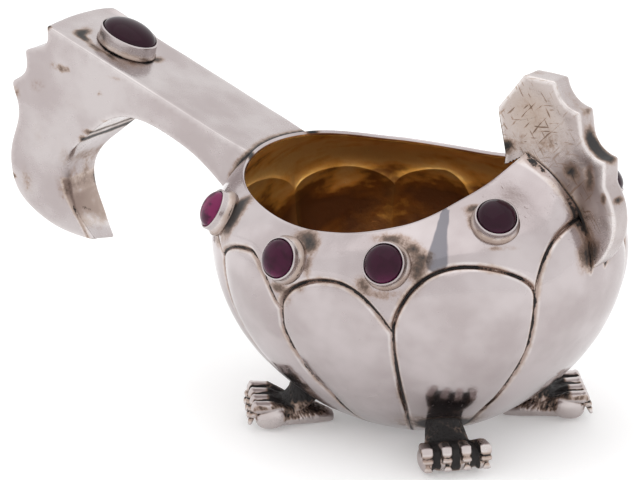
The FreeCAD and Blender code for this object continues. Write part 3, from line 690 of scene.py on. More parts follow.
def spline_points(points, count):
    """Points along a smooth curve through the given points."""
    points = np.array(points, float)
    n = len(points)
    lengths = np.linalg.norm(np.diff(points, axis=0), axis=1)
    t = np.concatenate([[0], np.cumsum(lengths)])
    matrix = np.eye(n)
    right = np.zeros_like(points)
    for i in range(1, n - 1):
        matrix[i, i - 1] = lengths[i - 1]
        matrix[i, i] = 2 * (lengths[i - 1] + lengths[i])
        matrix[i, i + 1] = lengths[i]
        after = (points[i + 1] - points[i]) / lengths[i]
        before = (points[i] - points[i - 1]) / lengths[i - 1]
        right[i] = 6 * (after - before)
    bend = np.linalg.solve(matrix, right)
    at = np.linspace(0, t[-1], count)
    i = np.clip(np.searchsorted(t, at, side="right") - 1, 0, n - 2)
    h = lengths[i][:, None]
    a = ((t[i + 1] - at)[:, None]) / h
    b = 1 - a
    square = ((a ** 3 - a) * bend[i] + (b ** 3 - b) * bend[i + 1]) * h ** 2 / 6
    return a * points[i] + b * points[i + 1] + square


def arc_points(start, middle, end, count):
    """Points along the circle arc through three points."""
    start, middle, end = (np.array(p, float) for p in (start, middle, end))
    (ax, ay), (bx, by), (cx, cy) = start, middle, end
    d = 2 * (ax * (by - cy) + bx * (cy - ay) + cx * (ay - by))
    ux = (start @ start * (by - cy) + middle @ middle * (cy - ay) + end @ end * (ay - by)) / d
    uy = (start @ start * (cx - bx) + middle @ middle * (ax - cx) + end @ end * (bx - ax)) / d
    centre = np.array([ux, uy])
    radius = np.linalg.norm(start - centre)
    first, mid, last = (math.atan2(*(p - centre)[::-1]) for p in (start, middle, end))
    sweep = (last - first) % (2 * math.pi)
    if (mid - first) % (2 * math.pi) > sweep:
        sweep -= 2 * math.pi
    turns = first + sweep * np.linspace(0, 1, count)
    return centre + radius * np.stack([np.cos(turns), np.sin(turns)], 1)


def even_outline(points, step, rounding):
    """The closed outline again at even steps, its corners eased."""
    points = np.array(points, float)
    loop = np.vstack([points, points[:1]])
    along = np.concatenate([[0], np.cumsum(np.linalg.norm(np.diff(loop, axis=0), axis=1))])
    count = int(along[-1] / step)
    at = np.linspace(0, along[-1], count, endpoint=False)
    even = np.stack([np.interp(at, along, loop[:, k]) for k in range(2)], 1)
    for _ in range(rounding):
        even = even * 0.5 + (np.roll(even, 1, 0) + np.roll(even, -1, 0)) * 0.25
    return even


def handle_place(share):
    return (-(BODY_HALF_LENGTH + HANDLE_REACH * share[0]), HANDLE_TIP_Z + HANDLE_HEIGHT * share[1])


def handle_outline():
    """Closed side view of the handle as (x, z) points."""
    points = []
    for step in HANDLE_STEP_SHARES:
        points += list(spline_points([handle_place(s) for s in step], STEP_POINTS)[:-1])
    points += list(spline_points([handle_place(s) for s in HANDLE_BACK_SHARES], BACK_POINTS)[:-1])
    points += list(spline_points([handle_place(s) for s in HANDLE_UNDER_SHARES], UNDER_POINTS))
    under = points[-1]
    end = handle_place(HANDLE_END_SHARE)
    root_x = under[0] + HANDLE_ROOT
    points.append((root_x, under[1] - HANDLE_ROOT))
    top_z = end[1] - (root_x - end[0]) * math.tan(math.radians(HANDLE_TOP_ANGLE))
    points.append((root_x, top_z))
    return points


def prow_place(share):
    return (PROW_INNER_X + PROW_DEPTH * share[0], PROW_FOOT_Z + PROW_HEIGHT * share[1])


def prow_outline():
    """Closed side view of the prow fin as (x, z) points."""
    points = [prow_place(s) for s in PROW_SHARES]
    for start, middle, end in PROW_SCALLOP_SHARES:
        arc = (prow_place(share) for share in (start, middle, end))
        points += list(arc_points(*arc, SCALLOP_POINTS))
    points.append(prow_place(PROW_ROOT_SHARE))
    return points


def outward_normals(outline):
    """Unit normals of a closed outline, pointing out of it."""
    along = np.roll(outline, -1, 0) - np.roll(outline, 1, 0)
    along /= np.linalg.norm(along, axis=1, keepdims=True)
    x, z = outline[:, 0], outline[:, 1]
    area = np.sum(x * np.roll(z, -1) - np.roll(x, -1) * z)
    side = 1 if area > 0 else -1
    return np.stack([along[:, 1], -along[:, 0]], 1) * side


def slab_mesh(name, outline, half_width_at, edge_at, grid, across, materials):
    """Solid slab from a side outline, with rounded edges and evenly meshed faces."""
    outline = np.array(outline, float)
    normals = outward_normals(outline)
    n = len(outline)
    edge = edge_at(outline)
    wide = half_width_at(outline[:, 1])
    points, rings = [], []

    def add_ring(plane, y):
        start = len(points)
        points.extend(zip(plane[:, 0], y, plane[:, 1]))
        rings.append(np.arange(start, start + n))

    turns = np.radians([90, 67.5, 45, 22.5, 0])
    add_ring(outline - normals * (edge + EDGE_MARGIN)[:, None], -wide)
    for turn in turns:
        inset = edge * (1 - math.cos(turn))
        add_ring(outline - normals * inset[:, None], -(wide - edge * (1 - math.sin(turn))))
    for k in range(1, across):
        add_ring(outline, -(wide - edge) * (1 - 2 * k / across))
    for turn in reversed(turns):
        inset = edge * (1 - math.cos(turn))
        add_ring(outline - normals * inset[:, None], wide - edge * (1 - math.sin(turn)))
    add_ring(outline - normals * (edge + EDGE_MARGIN)[:, None], wide)
    faces = []
    for low, high in zip(rings, rings[1:]):
        faces += ring_faces(low, high)
    inner = outline - normals * (edge + EDGE_MARGIN)[:, None]
    lo, hi = inner.min(0), inner.max(0)
    spots = [Vector(p) for p in inner]
    row = 0
    z = lo[1]
    while z < hi[1]:
        x = lo[0] + (row % 2) * grid / 2
        while x < hi[0]:
            spots.append(Vector((x, z)))
            x += grid
        z += grid * math.sqrt(0.75)
        row += 1
    loop = [(i, (i + 1) % n) for i in range(n)]
    clear = grid * 0.55
    edge_tree = search_tree([(x, z, 0) for x, z in inner])
    kept = spots[:n] + [p for p in spots[n:] if edge_tree.find((p[0], p[1], 0))[2] > clear]
    made = geometry.delaunay_2d_cdt(kept, loop, [], 1, 1e-4)
    places, patch = made[0], made[2]
    source = made[3]
    for side, ring in ((-1, rings[0]), (1, rings[-1])):
        number = {}
        for j, (p, from_points) in enumerate(zip(places, source)):
            on_loop = [k for k in from_points if k < n]
            if on_loop:
                number[j] = ring[on_loop[0]]
            else:
                number[j] = len(points)
                points.append((p[0], side * float(half_width_at(np.array([p[1]]))[0]), p[1]))
        for f in patch:
            faces.append(tuple(number[j] for j in f))
    piece = new_piece(name, np.array(points, float), faces, materials)
    clean = bmesh.new()
    clean.from_mesh(piece.data)
    bmesh.ops.recalc_face_normals(clean, faces=clean.faces)
    clean.to_mesh(piece.data)
    clean.free()
    return piece


def seat_mesh(lidded):
    """Closed form of the bowl, filled, that trims what is soldered on; it isn't shown."""
    angle = np.linspace(0, 360, 181)[:-1]
    low = bottom_elevation(angle)
    top = rim_elevation(angle)
    rows = []
    for share in np.linspace(0, 1, 60):
        elevation = low + (top - low) * share
        rows.append(smooth_point(angle, elevation) - smooth_normal(angle, elevation) * SEAT_OVERLAP)
    rim = rows[-1]
    if lidded:
        for share in (0.98, 0.75, 0.5, 0.25):
            ring = rim * [share, share, 1]
            ring[:, 2] = LID_Z + (rim[:, 2] - LID_Z) * share ** 2
            rows.append(ring)
        pole_z = LID_Z
    else:
        for lift in (WALL, HANDLE_HEIGHT):
            rows.append(rim + [0, 0, lift])
        pole_z = float(rim[:, 2].max()) + HANDLE_HEIGHT
    return new_piece("seat", *closed_rings(rows, BOTTOM_Z, pole_z))


def cut_away(piece, cutter):
    """Cuts one mesh with another, then removes the cutter."""
    modifier = piece.modifiers.new("trim", "BOOLEAN")
    modifier.operation = "DIFFERENCE"
    modifier.solver = "EXACT"
    modifier.object = cutter
    apply_modifiers(piece)
    bpy.data.objects.remove(cutter)


def apply_modifiers(piece):
    graph = bpy.context.evaluated_depsgraph_get()
    made = bpy.data.meshes.new_from_object(piece.evaluated_get(graph))
    piece.modifiers.clear()
    old = piece.data
    piece.data = made
    bpy.data.meshes.remove(old)
    made.name = piece.name


def make_handle(materials):
    step, grid, across = HANDLE_MESH
    outline = even_outline(handle_outline(), step, 2)

    def half_width(z):
        share = np.clip((z - HANDLE_TIP_Z) / HOOK_TAPER_HEIGHT, 0, 1)
        return HOOK_TIP_HALF_WIDTH + (HANDLE_HALF_WIDTH - HOOK_TIP_HALF_WIDTH) * share

    def edge(points):
        x, z = points[:, 0], points[:, 1]
        inside = ramp(-101.0, -99.0, x) * (1 - ramp(-94.0, -90.0, x))
        soft = ramp(29.0, 40.0, z) * (1 - ramp(44.0, 50.0, z)) * inside
        return HANDLE_EDGE + (HOOK_SOFT_EDGE - HANDLE_EDGE) * soft

    piece = slab_mesh("handle_shell", outline, half_width, edge, grid, across, materials)
    press(piece, HANDLE_WAVE, 15, 3, ())
    bow_end(piece)
    cut_away(piece, seat_mesh(False))
    points = points_of(piece.data)
    stain = side_stains(points, HANDLE_STAINS)
    slope = math.radians(HANDLE_TOP_ANGLE)
    end = handle_place(HANDLE_END_SHARE)
    down = np.array([math.cos(slope), 0, -math.sin(slope)])
    axes = (down, (0, 1, 0), (math.sin(slope), 0, math.cos(slope)))
    for along, across, size, size_across, strength in TOP_STAINS:
        place = np.array([end[0], 0, end[1]]) + down * along + [0, across, 0]
        stain += spot(points, place, (size, size_across, 1.0), strength, axes)
    gap = wall_gap(points)
    stain += 0.8 * np.exp(-(np.maximum(0, gap) / 1.3) ** 2)
    # Dark lines: the joint with the bowl, and painted shade along the crease
    line = np.minimum(np.abs(gap) + 0.05, line_distance(points, CREASE_SHADE_LINE) + 0.1)
    # Painted highlight along the handle's rounded edges, in the edge mask
    edges = edge_highlight_mask(points, outline, half_width(points[:, 2]), HANDLE_EDGE)
    set_masks(piece, groove=line, stain=stain, edge=0.3 * edges)
    return piece


def outline_distance(points, outline):
    """Distance in the side view from an outline."""
    tree = search_tree([(x, 0, z) for x, z in outline])
    return nearest_distances(tree, points * [1, 0, 1])


def edge_highlight_mask(points, outline, half_width, edge):
    """Marks the rounded edges of a slab, where a highlight is painted."""
    near = 1 - ramp(edge, edge * 2.0, outline_distance(points, outline))
    return near * (1 - ramp(edge * 0.6, edge * 1.4, half_width - np.abs(points[:, 1])))


def line_distance(points, line):
    """Distance in the side view from a bent line."""
    place = points[:, [0, 2]]
    best = np.full(len(points), FAR)
    for start, end in zip(line, line[1:]):
        start, along = np.array(start), np.array(end) - np.array(start)
        t = np.clip((place - start) @ along / (along @ along), 0, 1)
        best = np.minimum(best, np.linalg.norm(place - start - t[:, None] * along, axis=1))
    return best


def bow_end(piece):
    """Bows the free end of the handle's top outwards and rounds its far corner."""
    points = points_of(piece.data)
    end_x, end_z = handle_place(HANDLE_END_SHARE)
    share = np.clip(points[:, 1] / HANDLE_HALF_WIDTH, -1, 1)
    near = ramp(end_z - 7.0, end_z - 2.0, points[:, 2]) * (1 - ramp(end_x + 2, end_x + 12, points[:, 0]))
    points[:, 0] += near * (END_WEAR * np.clip(share, 0, 1) ** 9 - END_BOW * (1 - share ** 2))
    tip = 1 - ramp(HANDLE_TIP_Z + 1, HANDLE_TIP_Z + 10, points[:, 2])
    points[:, 2] -= tip * TIP_DROOP * np.clip(points[:, 1] / HOOK_TIP_HALF_WIDTH + 0.6, 0, 1.6)
    store_points(piece.data, points)


def store_points(mesh, points):
    places = points + [AXIS_X, 0, 0]
    mesh.vertices.foreach_set("co", (places * MM).ravel())
    mesh.update()


def hold_in_box(piece):
    """Keeps a piece inside the box of the measured model."""
    low, high = (np.array(corner) / MM - [AXIS_X, 0, 0] for corner in CAD_BOX)
    store_points(piece.data, np.clip(points_of(piece.data), low, high))


def press(piece, wave, size, seed, dents):
    """Makes a sheet slightly uneven, with dents given as place, sizes and depth."""
    mesh = piece.data
    points = points_of(mesh)
    normals = normals_of(mesh)
    depth = waves(points, size, seed) * wave
    for centre, sizes, deep in dents:
        depth -= spot(points, centre, sizes, deep)
    store_points(mesh, points + normals * depth[:, None])


def make_prow(materials):
    step, grid, across = PROW_MESH
    outline = even_outline(prow_outline(), step, 2)

    def half_width(z):
        return np.full(len(z), PROW_HALF_THICKNESS)

    def edge(points):
        return np.full(len(points), PROW_EDGE)

    piece = slab_mesh("prow_fin", outline, half_width, edge, grid, across, materials)
    dents = []
    for x, z, size_x, size_z, deep in PROW_DENTS:
        dents += [((x, side * PROW_HALF_THICKNESS, z), (size_x, 1.6, size_z), deep) for side in (-1, 1)]
    press(piece, PROW_WAVE, 7, 5, dents)
    sink_faces(piece, outline)
    cut_away(piece, seat_mesh(True))
    points = points_of(piece.data)
    stain = side_stains(points, PROW_STAINS)
    strip = np.abs(points[:, 1]) < PROW_HALF_THICKNESS - PROW_EDGE * 0.6
    stain += side_stains(points, PROW_STRIP_STAINS, 1.9) * strip
    gap = wall_gap(points)
    stain += 0.3 * np.exp(-(np.maximum(0, gap) / 0.8) ** 2)
    # The edge mask is a painted highlight along the fin's rounded edges
    set_masks(
        piece, groove=np.abs(gap) + 0.02, stain=stain, scuff=prow_scuff(points),
        edge=0.65 * edge_highlight_mask(points, outline, PROW_HALF_THICKNESS, PROW_EDGE),
    )
    return piece


def sink_faces(piece, outline):
    """Leaves a raised border round the fin's two faces."""
    points = points_of(piece.data)
    distance = outline_distance(points, outline)
    on_face = np.abs(points[:, 1]) > PROW_HALF_THICKNESS - PROW_EDGE
    points[:, 1] -= np.sign(points[:, 1]) * on_face * PROW_SINK * ramp(1.3, 4.2, distance)
    store_points(piece.data, points)


def prow_scuff(points):
    face = np.abs(points[:, 1]) > PROW_HALF_THICKNESS - PROW_EDGE * 1.5
    upper = spot(points, (31.0, 0, 77.0), (8.5, FAR, 8.0), 0.9)
    tint = upper + spot(points, (43.0, 0, 57.0), (5.0, FAR, 9.0), 0.7)
    return np.minimum(tint, 0.9) * face + 0.12


def flat_disc(node):
    """Centre and normal of the largest flat end of a node, in millimetres about the bowl's axis."""
    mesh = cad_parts[node].data
    sums = {}
    for face in mesh.polygons:
        key = tuple(round(c, 2) for c in face.normal)
        area, weighted, normal = sums.get(key, (0, Vector(), Vector()))
        sums[key] = (area + face.area, weighted + face.center * face.area, normal + face.normal)
    area, weighted, normal = max(sums.values(), key=lambda s: s[0])
    centre = weighted / area / MM
    return Vector((centre.x - AXIS_X, centre.y, centre.z)), normal.normalized()


def turned_piece(name, profile, steps, centre, axis, materials, squash=(1, 1), turn=None, wobble=0.0):
    """Mesh of a half section turned about an axis, which may be oval and slightly uneven."""
    profile = np.array(profile, float)
    points, rings = [], []
    closed_start = profile[0][0] < 1e-6
    closed_end = profile[-1][0] < 1e-6
    body = profile[1 if closed_start else 0:len(profile) - (1 if closed_end else 0)]
    around = np.linspace(0, 2 * math.pi, steps, endpoint=False)
    for r, h in body:
        uneven = 1 + wobble * (np.sin(3 * around + h) + 0.6 * np.sin(7 * around + 2 * h))
        x = r * np.cos(around) * squash[0] * uneven
        y = r * np.sin(around) * squash[1] * uneven
        rings.append(np.arange(len(points), len(points) + steps))
        points += list(np.stack([x, y, np.full(steps, h)], 1))
    faces = []
    for low, high in zip(rings, rings[1:]):
        faces += ring_faces(low, high)
    if closed_start:
        points.append((0, 0, profile[0][1]))
        faces += [(rings[0][(i + 1) % steps], rings[0][i], len(points) - 1) for i in range(steps)]
    if closed_end:
        points.append((0, 0, profile[-1][1]))
        faces += [(rings[-1][i], rings[-1][(i + 1) % steps], len(points) - 1) for i in range(steps)]
    up = Vector(axis)
    if turn is None:
        turn = Vector((0, 0, 1)).rotation_difference(up).to_matrix()
    points = np.array(points, float)
    placed = points @ np.array(turn).T + np.array(centre)
    piece = new_piece(name, placed, faces, materials)
    if squash[1] == 1:
        out = np.hypot(points[:, 0], points[:, 1])
    else:
        out = np.hypot(points[:, 0], points[:, 1] / squash[1])
    return piece, out, points[:, 2], placed


STONE_RADIUS = 4.2
STONE_DOME = 2.55
STONE_GIRDLE = 1.4
BEZEL_WALL = 0.5
BEZEL_HEIGHT = 2.6
BEZEL_FLOOR = 0.8
BEZEL_FLARE = 0.6
BEZEL_ROOT = 0.6
# The stones beside the prow face a little further down, on a deeper collar
PROW_STONE_TILT = 0.1
PROW_BEZEL_ROOT = 0.75
# How much painted light glows in each stone
STONE_PAINTED_GLOWS = {"prow": 0.04, "fore": 0.1, "mid": 0.2, "tail": 0.6}
# Steps round a stone and round its collar, the collar's play and its slight unevenness
STONE_STEPS = (64, 96)
STONE_PLAY = 0.05
COLLAR_WOBBLE = 0.006
OVAL_HALF_LENGTH = 6.9
OVAL_HALF_WIDTH = 5.2
OVAL_DOME = 2.9
OVAL_BEZEL_HEIGHT = 3.6
OVAL_BEZEL_FLARE = 0.3
OVAL_GIRDLE = OVAL_BEZEL_HEIGHT - BEZEL_FLOOR - 0.5
OVAL_STEPS = (80, 112)
OVAL_PLAY = 0.07
# Painted light glowing in the oval stone
OVAL_PAINTED_GLOW = 0.03


def dome_profile(radius, girdle, dome):
    profile = [(0, 0), (radius * 0.96, 0), (radius, 0.12), (radius, girdle)]
    for k in range(1, 15):
        turn = math.pi / 2 * k / 15
        profile.append((radius * math.cos(turn), girdle + dome * math.sin(turn)))
    profile.append((0, girdle + dome))
    return profile


def collar_profile(inner, wall, height, root, flare):
    """Half section of a collar: flared foot, slightly rolled lip and an open top."""
    outer = inner + wall
    return [
        (0, BEZEL_FLOOR), (inner, BEZEL_FLOOR), (inner, height - 0.35), (inner + 0.06, height - 0.1),
        (inner + wall * 0.35, height), (inner + wall * 0.7, height), (outer - 0.02, height - 0.14),
        (outer, height - 0.35), (outer - 0.04, height * 0.6), (outer + 0.02, 0.9),
        (outer + flare * 0.45, 0.45), (outer + flare, 0.2), (outer + flare, -root), (0, -root),
    ]


def collar_masks(piece, out, height, inner, top):
    """Dark inside the lip and where the collar meets the wall; the rest is bright."""
    inside = (out < inner + 0.02) & (height < top - 0.3)
    foot = np.minimum(np.abs(height) + 0.16, np.abs(height - 0.6) + 0.36)
    set_masks(piece, groove=np.where(inside, 0, foot), stain=0.22 * (1 - ramp(0.0, 0.9, height)))


def painted_glow_mask(piece, out, height, placed, centre, radius, lit):
    """Painted light that glows inside a stone, most of all in its lower edge."""
    low = ramp(-0.1, 0.9, -(placed[:, 2] - centre[2]) / radius) * ramp(0.2, 0.8, out / radius)
    values = lit + (1 - lit) * 0.45 * low
    piece.data.attributes.new("painted_glow", "FLOAT", "POINT").data.foreach_set("value", values)


def make_stone(name, place, dome, collar, steps, play, lit, materials, **oval):
    """A stone and its collar: dome as radius, girdle and rise, collar as height, root and flare."""
    centre, axis = place
    gem = turned_piece("gem_" + name, dome_profile(*dome), steps[0], centre, axis, materials[:1], **oval)
    painted_glow_mask(*gem, centre, dome[0], lit)
    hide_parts("stone_" + name)
    inner = dome[0] + play
    profile = collar_profile(inner, BEZEL_WALL, *collar)
    foot = centre - axis * BEZEL_FLOOR
    ring = turned_piece(
        "collar_" + name, profile, steps[1], foot, axis, materials[1:], wobble=COLLAR_WOBBLE, **oval,
    )
    collar_masks(*ring[:3], inner, collar[0])
    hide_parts("bezel_" + name)
    return [(gem[0], "stone"), (ring[0], "bezel_silver")]


def make_stones(materials):
    """The eight round stones and the oval one on the handle, in their collars."""
    pieces = []
    dome = (STONE_RADIUS, STONE_GIRDLE, STONE_DOME)
    for name in STONE_NAMES:
        for side in SIDES:
            centre, down = flat_disc("stone_" + name + "_" + side)
            axis = -down
            root = BEZEL_ROOT
            if name == "prow":
                axis = (axis - Vector((0, 0, PROW_STONE_TILT))).normalized()
                root = PROW_BEZEL_ROOT
            collar = (BEZEL_HEIGHT, root, BEZEL_FLARE)
            pieces += make_stone(
                name + "_" + side, (centre, axis), dome, collar, STONE_STEPS, STONE_PLAY, STONE_PAINTED_GLOWS[name],
                materials,
            )
    centre, down = flat_disc("stone_handle")
    pieces += make_stone(
        "handle", (centre, -down), (OVAL_HALF_LENGTH, OVAL_GIRDLE, OVAL_DOME),
        (OVAL_BEZEL_HEIGHT, 0.0, OVAL_BEZEL_FLARE), OVAL_STEPS, OVAL_PLAY, OVAL_PAINTED_GLOW, materials,
        squash=(1, OVAL_HALF_WIDTH / OVAL_HALF_LENGTH),
        turn=Matrix.Rotation(math.radians(HANDLE_TOP_ANGLE), 3, "Y"),
    )
    return pieces


# Feet, in the paw's own axes: X out to the toes, Z up
TOE_COUNT = 4
TOE_PITCH = 4.35
TOE_FAN_SHARE = 0.74
PAW_VOXEL = 0.2
PAW_SINK = 0.6

# Stations along the paw: centre and half sizes
PAW_STATIONS = (
    ((20.4, 0, 1.1), (1.4, 2.6, 1.1)), ((23.5, 0, 1.8), (2.0, 3.9, 1.9)),
    ((28.5, 0, 2.6), (2.4, 5.3, 2.6)), ((32.3, 0, 3.1), (2.5, 6.1, 3.1)),
    ((34.4, 0, 3.6), (2.0, 6.3, 3.1)), ((35.6, 0, 4.0), (1.3, 6.5, 2.3)),
)
ANKLE_STATIONS = (
    ((31.0, 0, 3.6), (2.4, 5.8, 2.1)), ((28.4, 0, 4.4), (2.8, 5.0, 2.3)), ((26.0, 0, 6.8), (3.4, 4.3, 2.6)),
    ((24.4, 0, 9.2), (4.4, 3.6, 2.6)),
)
TOE_STATIONS = (
    ((29.8, 4.3), (1.2, 1.0, 0.8)), ((34.0, 6.0), (1.2, 1.15, 1.1)), ((36.2, 5.9), (1.1, 1.25, 1.3)),
)
CLAW_STATIONS = (((38.2, 3.2), (0.7, 0.5, 0.35)), ((38.5, 2.3), (0.45, 1.05, 0.35)))
JOINT_LINES = (5.0, 3.5)
SOLE_EDGE_STATIONS = (
    ((20.6, 2.0, 1.5), (0.9, 0.7, 0.8)), ((24.5, 3.6, 1.7), (1.0, 0.7, 0.9)),
    ((31.0, 5.5, 2.4), (1.4, 0.9, 1.4)),
)


def unit_ball(power, around=26, up=15):
    """Points and faces of a rounded box, from a ball at power 2 to a box at high powers."""
    points = [(0, 0, 1.0)]
    for i in range(1, up):
        t = math.pi * i / up
        for k in range(around):
            p = 2 * math.pi * k / around
            points.append((math.sin(t) * math.cos(p), math.sin(t) * math.sin(p), math.cos(t)))
    points.append((0, 0, -1.0))
    points = np.array(points)
    points /= (np.abs(points) ** power).sum(1, keepdims=True) ** (1 / power)
    faces = []
    for k in range(around):
        n = (k + 1) % around
        faces.append((0, 1 + k, 1 + n))
        for i in range(up - 2):
            low = 1 + i * around
            faces.append((low + k, low + around + k, low + around + n, low + n))
        last = 1 + (up - 2) * around
        faces.append((last + k, len(points) - 1, last + n))
    return points, faces


class Clay:
    """Overlapping rounded lumps that are later skinned as one form."""

    def __init__(self):
        self.points = []
        self.faces = []
        self.count = 0

    def lump(self, centre, radii, power=2.4, tilt=0.0):
        points, faces = unit_ball(power)
        points = points * radii
        c, s = math.cos(tilt), math.sin(tilt)
        points = points @ np.array([[c, 0, s], [0, 1, 0], [-s, 0, c]]).T + np.array(centre)
        self.points.append(points)
        self.faces += [tuple(i + self.count for i in f) for f in faces]
        self.count += len(points)

    def row(self, stations, step=0.5, power=2.4):
        for (c1, r1), (c2, r2) in zip(stations, stations[1:]):
            c1, r1, c2, r2 = (np.array(v, float) for v in (c1, r1, c2, r2))
            count = max(1, int(np.linalg.norm(c2 - c1) / step))
            for i in range(count + 1):
                t = i / count
                self.lump(c1 + (c2 - c1) * t, r1 + (r2 - r1) * t, power)


def toe_places():
    return [(i - (TOE_COUNT - 1) / 2) * TOE_PITCH for i in range(TOE_COUNT)]


def paw_clay():
    """Lumps of one paw: sole, ankle, four toes of three joints, and the side pads."""
    clay = Clay()
    clay.row(PAW_STATIONS, power=2.6)
    clay.row(ANKLE_STATIONS, power=2.2)
    for y in toe_places():
        wide = 1.1 if abs(y) > TOE_PITCH else 1.0
        joint = []
        for ((u, z), radii), fan in zip(TOE_STATIONS, (TOE_FAN_SHARE, 0.97, 1.0)):
            joint.append(((u, y * fan, z), (radii[0], radii[1] * wide, radii[2])))
        clay.row(joint, power=3.2)
        clay.lump((37.0, y, 6.0), (1.05, 1.25 * wide, 1.25), 3.4, -0.4)
        clay.lump((37.75, y, 4.3), (0.95, 1.15 * wide, 0.62), 3.4, -0.1)
        clay.row([((u, y, z), radii) for (u, z), radii in CLAW_STATIONS], 0.3, 2.2)
    for side in (-1, 1):
        clay.lump((33.6, side * 5.9, 3.2), (3.6, 1.8, 2.6), 2.3, 0.1)
        clay.row([((u, side * v, z), radii) for (u, v, z), radii in SOLE_EDGE_STATIONS], 0.5, 2.2)
    return clay


def smoothed_paw():
    """The paw as one smooth mesh, cut flat on the ground."""
    clay = paw_clay()
    mesh = bpy.data.meshes.new("paw_form")
    mesh.from_pydata(np.concatenate(clay.points).tolist(), [], clay.faces)
    shape = bpy.data.objects.new("paw_form", mesh)
    bpy.context.scene.collection.objects.link(shape)
    remesh = shape.modifiers.new("skin", "REMESH")
    remesh.mode = "VOXEL"
    remesh.voxel_size = PAW_VOXEL
    soften = shape.modifiers.new("soften", "SMOOTH")
    soften.factor = 0.5
    soften.iterations = 2
    apply_modifiers(shape)
    tool = bmesh.new()
    tool.from_mesh(shape.data)
    bpy.data.objects.remove(shape)
    geom = tool.verts[:] + tool.edges[:] + tool.faces[:]
    bmesh.ops.bisect_plane(
        tool, geom=geom, plane_co=(0, 0, 0), plane_no=(0, 0, -1), clear_outer=True, dist=1e-5,
    )
    bmesh.ops.holes_fill(tool, edges=[e for e in tool.edges if e.is_boundary], sides=0)
    bmesh.ops.triangulate(tool, faces=[f for f in tool.faces if len(f.verts) > 4])
    tool.verts.index_update()
    points = np.array([v.co[:] for v in tool.verts])
    faces = [[v.index for v in f.verts] for f in tool.faces]
    tool.free()
    return points, faces


def neighbour_mean(faces, count):
    """Function that averages values over the neighbours of each vertex."""
    pairs = set()
    for f in faces:
        for a, b in zip(f, f[1:] + f[:1]):
            pairs.add((min(a, b), max(a, b)))
    pairs = np.array(sorted(pairs))
    degree = np.bincount(pairs.ravel(), minlength=count).astype(float)

    def mean(values):
        columns = values.reshape(count, -1)
        total = np.stack([
            np.bincount(pairs[:, 0], columns[pairs[:, 1], k], count)
            + np.bincount(pairs[:, 1], columns[pairs[:, 0], k], count)
            for k in range(columns.shape[1])
        ], 1)
        return (total / degree[:, None]).reshape(values.shape)

    return mean


def strokes(points, seed):
    """Short combed marks like fur, from about -1 to 1."""
    out = []
    for x, y, z in points:
        lean = 0.5 * x + z
        across = x * 0.9 - z * 0.45
        out.append(noise.noise(Vector((across * 2.6, y * 2.6, lean * 0.55 + seed))) * 1.8)
    return np.clip(out, -1, 1)


def make_feet(materials):
    points, faces = smoothed_paw()
    mesh = bpy.data.meshes.new("paw")
    mesh.from_pydata(points.tolist(), [], faces)
    normals = normals_of(mesh)
    bpy.data.meshes.remove(mesh)
    mean = neighbour_mean(faces, len(points))
    soft = points
    for _ in range(10):
        soft = mean(soft)
    hollow = np.einsum("ij,ij->i", soft - points, normals)
    hollow = mean(mean(hollow))
    u, v, z = points.T
    # Smooth and polished: the pads, the toes and the edge of the sole; combed: the rest
    pad = ramp(30.4, 31.4, u) * ramp(5.2, 6.0, np.abs(v))
    pad *= (1 - ramp(5.2, 6.0, z)) * (1 - ramp(37.0, 37.5, u))
    toe_gap = np.min(np.abs(v[:, None] - np.array(toe_places())), axis=1)
    toe = ramp(33.0, 34.8, u) * (1 - ramp(1.0, 1.35, toe_gap)) * ramp(2.0, 4.5, z + u - 34.8)
    edge = 1 - ramp(1.8, 2.8, z)
    bright = np.maximum(np.maximum(pad, toe), edge * 0.9)
    combed = (1 - bright) * (1 - ramp(35.0, 36.0, u))
    marks = strokes(points, 1.0)
    points = points + normals * (np.minimum(marks, 0.2) * combed * 0.14)[:, None]
    instep = ramp(27.5, 30.0, u) * (1 - ramp(34.5, 36.2, u)) * ramp(2.4, 4.4, z)
    instep *= 1 - 0.6 * ramp(3.5, 5.2, np.abs(v))
    ankle = ramp(5.0, 7.0, z) * (1 - ramp(28.0, 31.0, u))
    gaps = ramp(33.4, 34.8, u) * ramp(1.1, 1.35, toe_gap) * (1 - pad) * ramp(1.5, 2.5, z)
    gaps *= 1 - 0.7 * ramp(6.9, 7.3, np.abs(v))
    under = ramp(35.0, 36.5, u) * (1 - ramp(2.5, 3.5, z)) * ramp(0.9, 1.2, toe_gap)
    fur = combed * (np.clip(-marks, 0, 1) * 0.5 + 0.3)
    stain = (0.9 * np.maximum(instep, ankle * 0.8) + fur) * (1 - bright)
    stain += 1.3 * np.maximum(gaps, under * (1 - pad))
    joint = np.min(np.abs(z[:, None] - np.array(JOINT_LINES)), axis=1)
    joint = np.where(toe * ramp(36.6, 37.0, u) > 0.3, joint + 0.1, 9.0)
    spots = strokes(points * 0.5, 9.0)
    stain += 0.3 * np.clip(spots, 0, 1) * (1 - bright)
    pieces = []
    for end, start_angle in (("fore", FOOT_ANGLE), ("tail", 180 - FOOT_ANGLE)):
        for side, sign in (("left", 1), ("right", -1)):
            angle = math.radians(start_angle * sign)
            turn = np.array([
                [math.cos(angle), -math.sin(angle), 0], [math.sin(angle), math.cos(angle), 0], [0, 0, 1],
            ])
            placed = points @ turn.T
            too_deep = np.minimum(0, above_bowl(placed) + pressed_in(placed) + PAW_SINK)
            placed = placed - radial(placed) * too_deep[:, None]
            paw = new_piece("paw_" + end + "_" + side, placed, faces, materials)
            set_masks(paw, groove=joint, hollow=hollow, stain=stain)
            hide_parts("foot_" + end + "_" + side)
            pieces.append((paw, "cast_silver"))
    return pieces


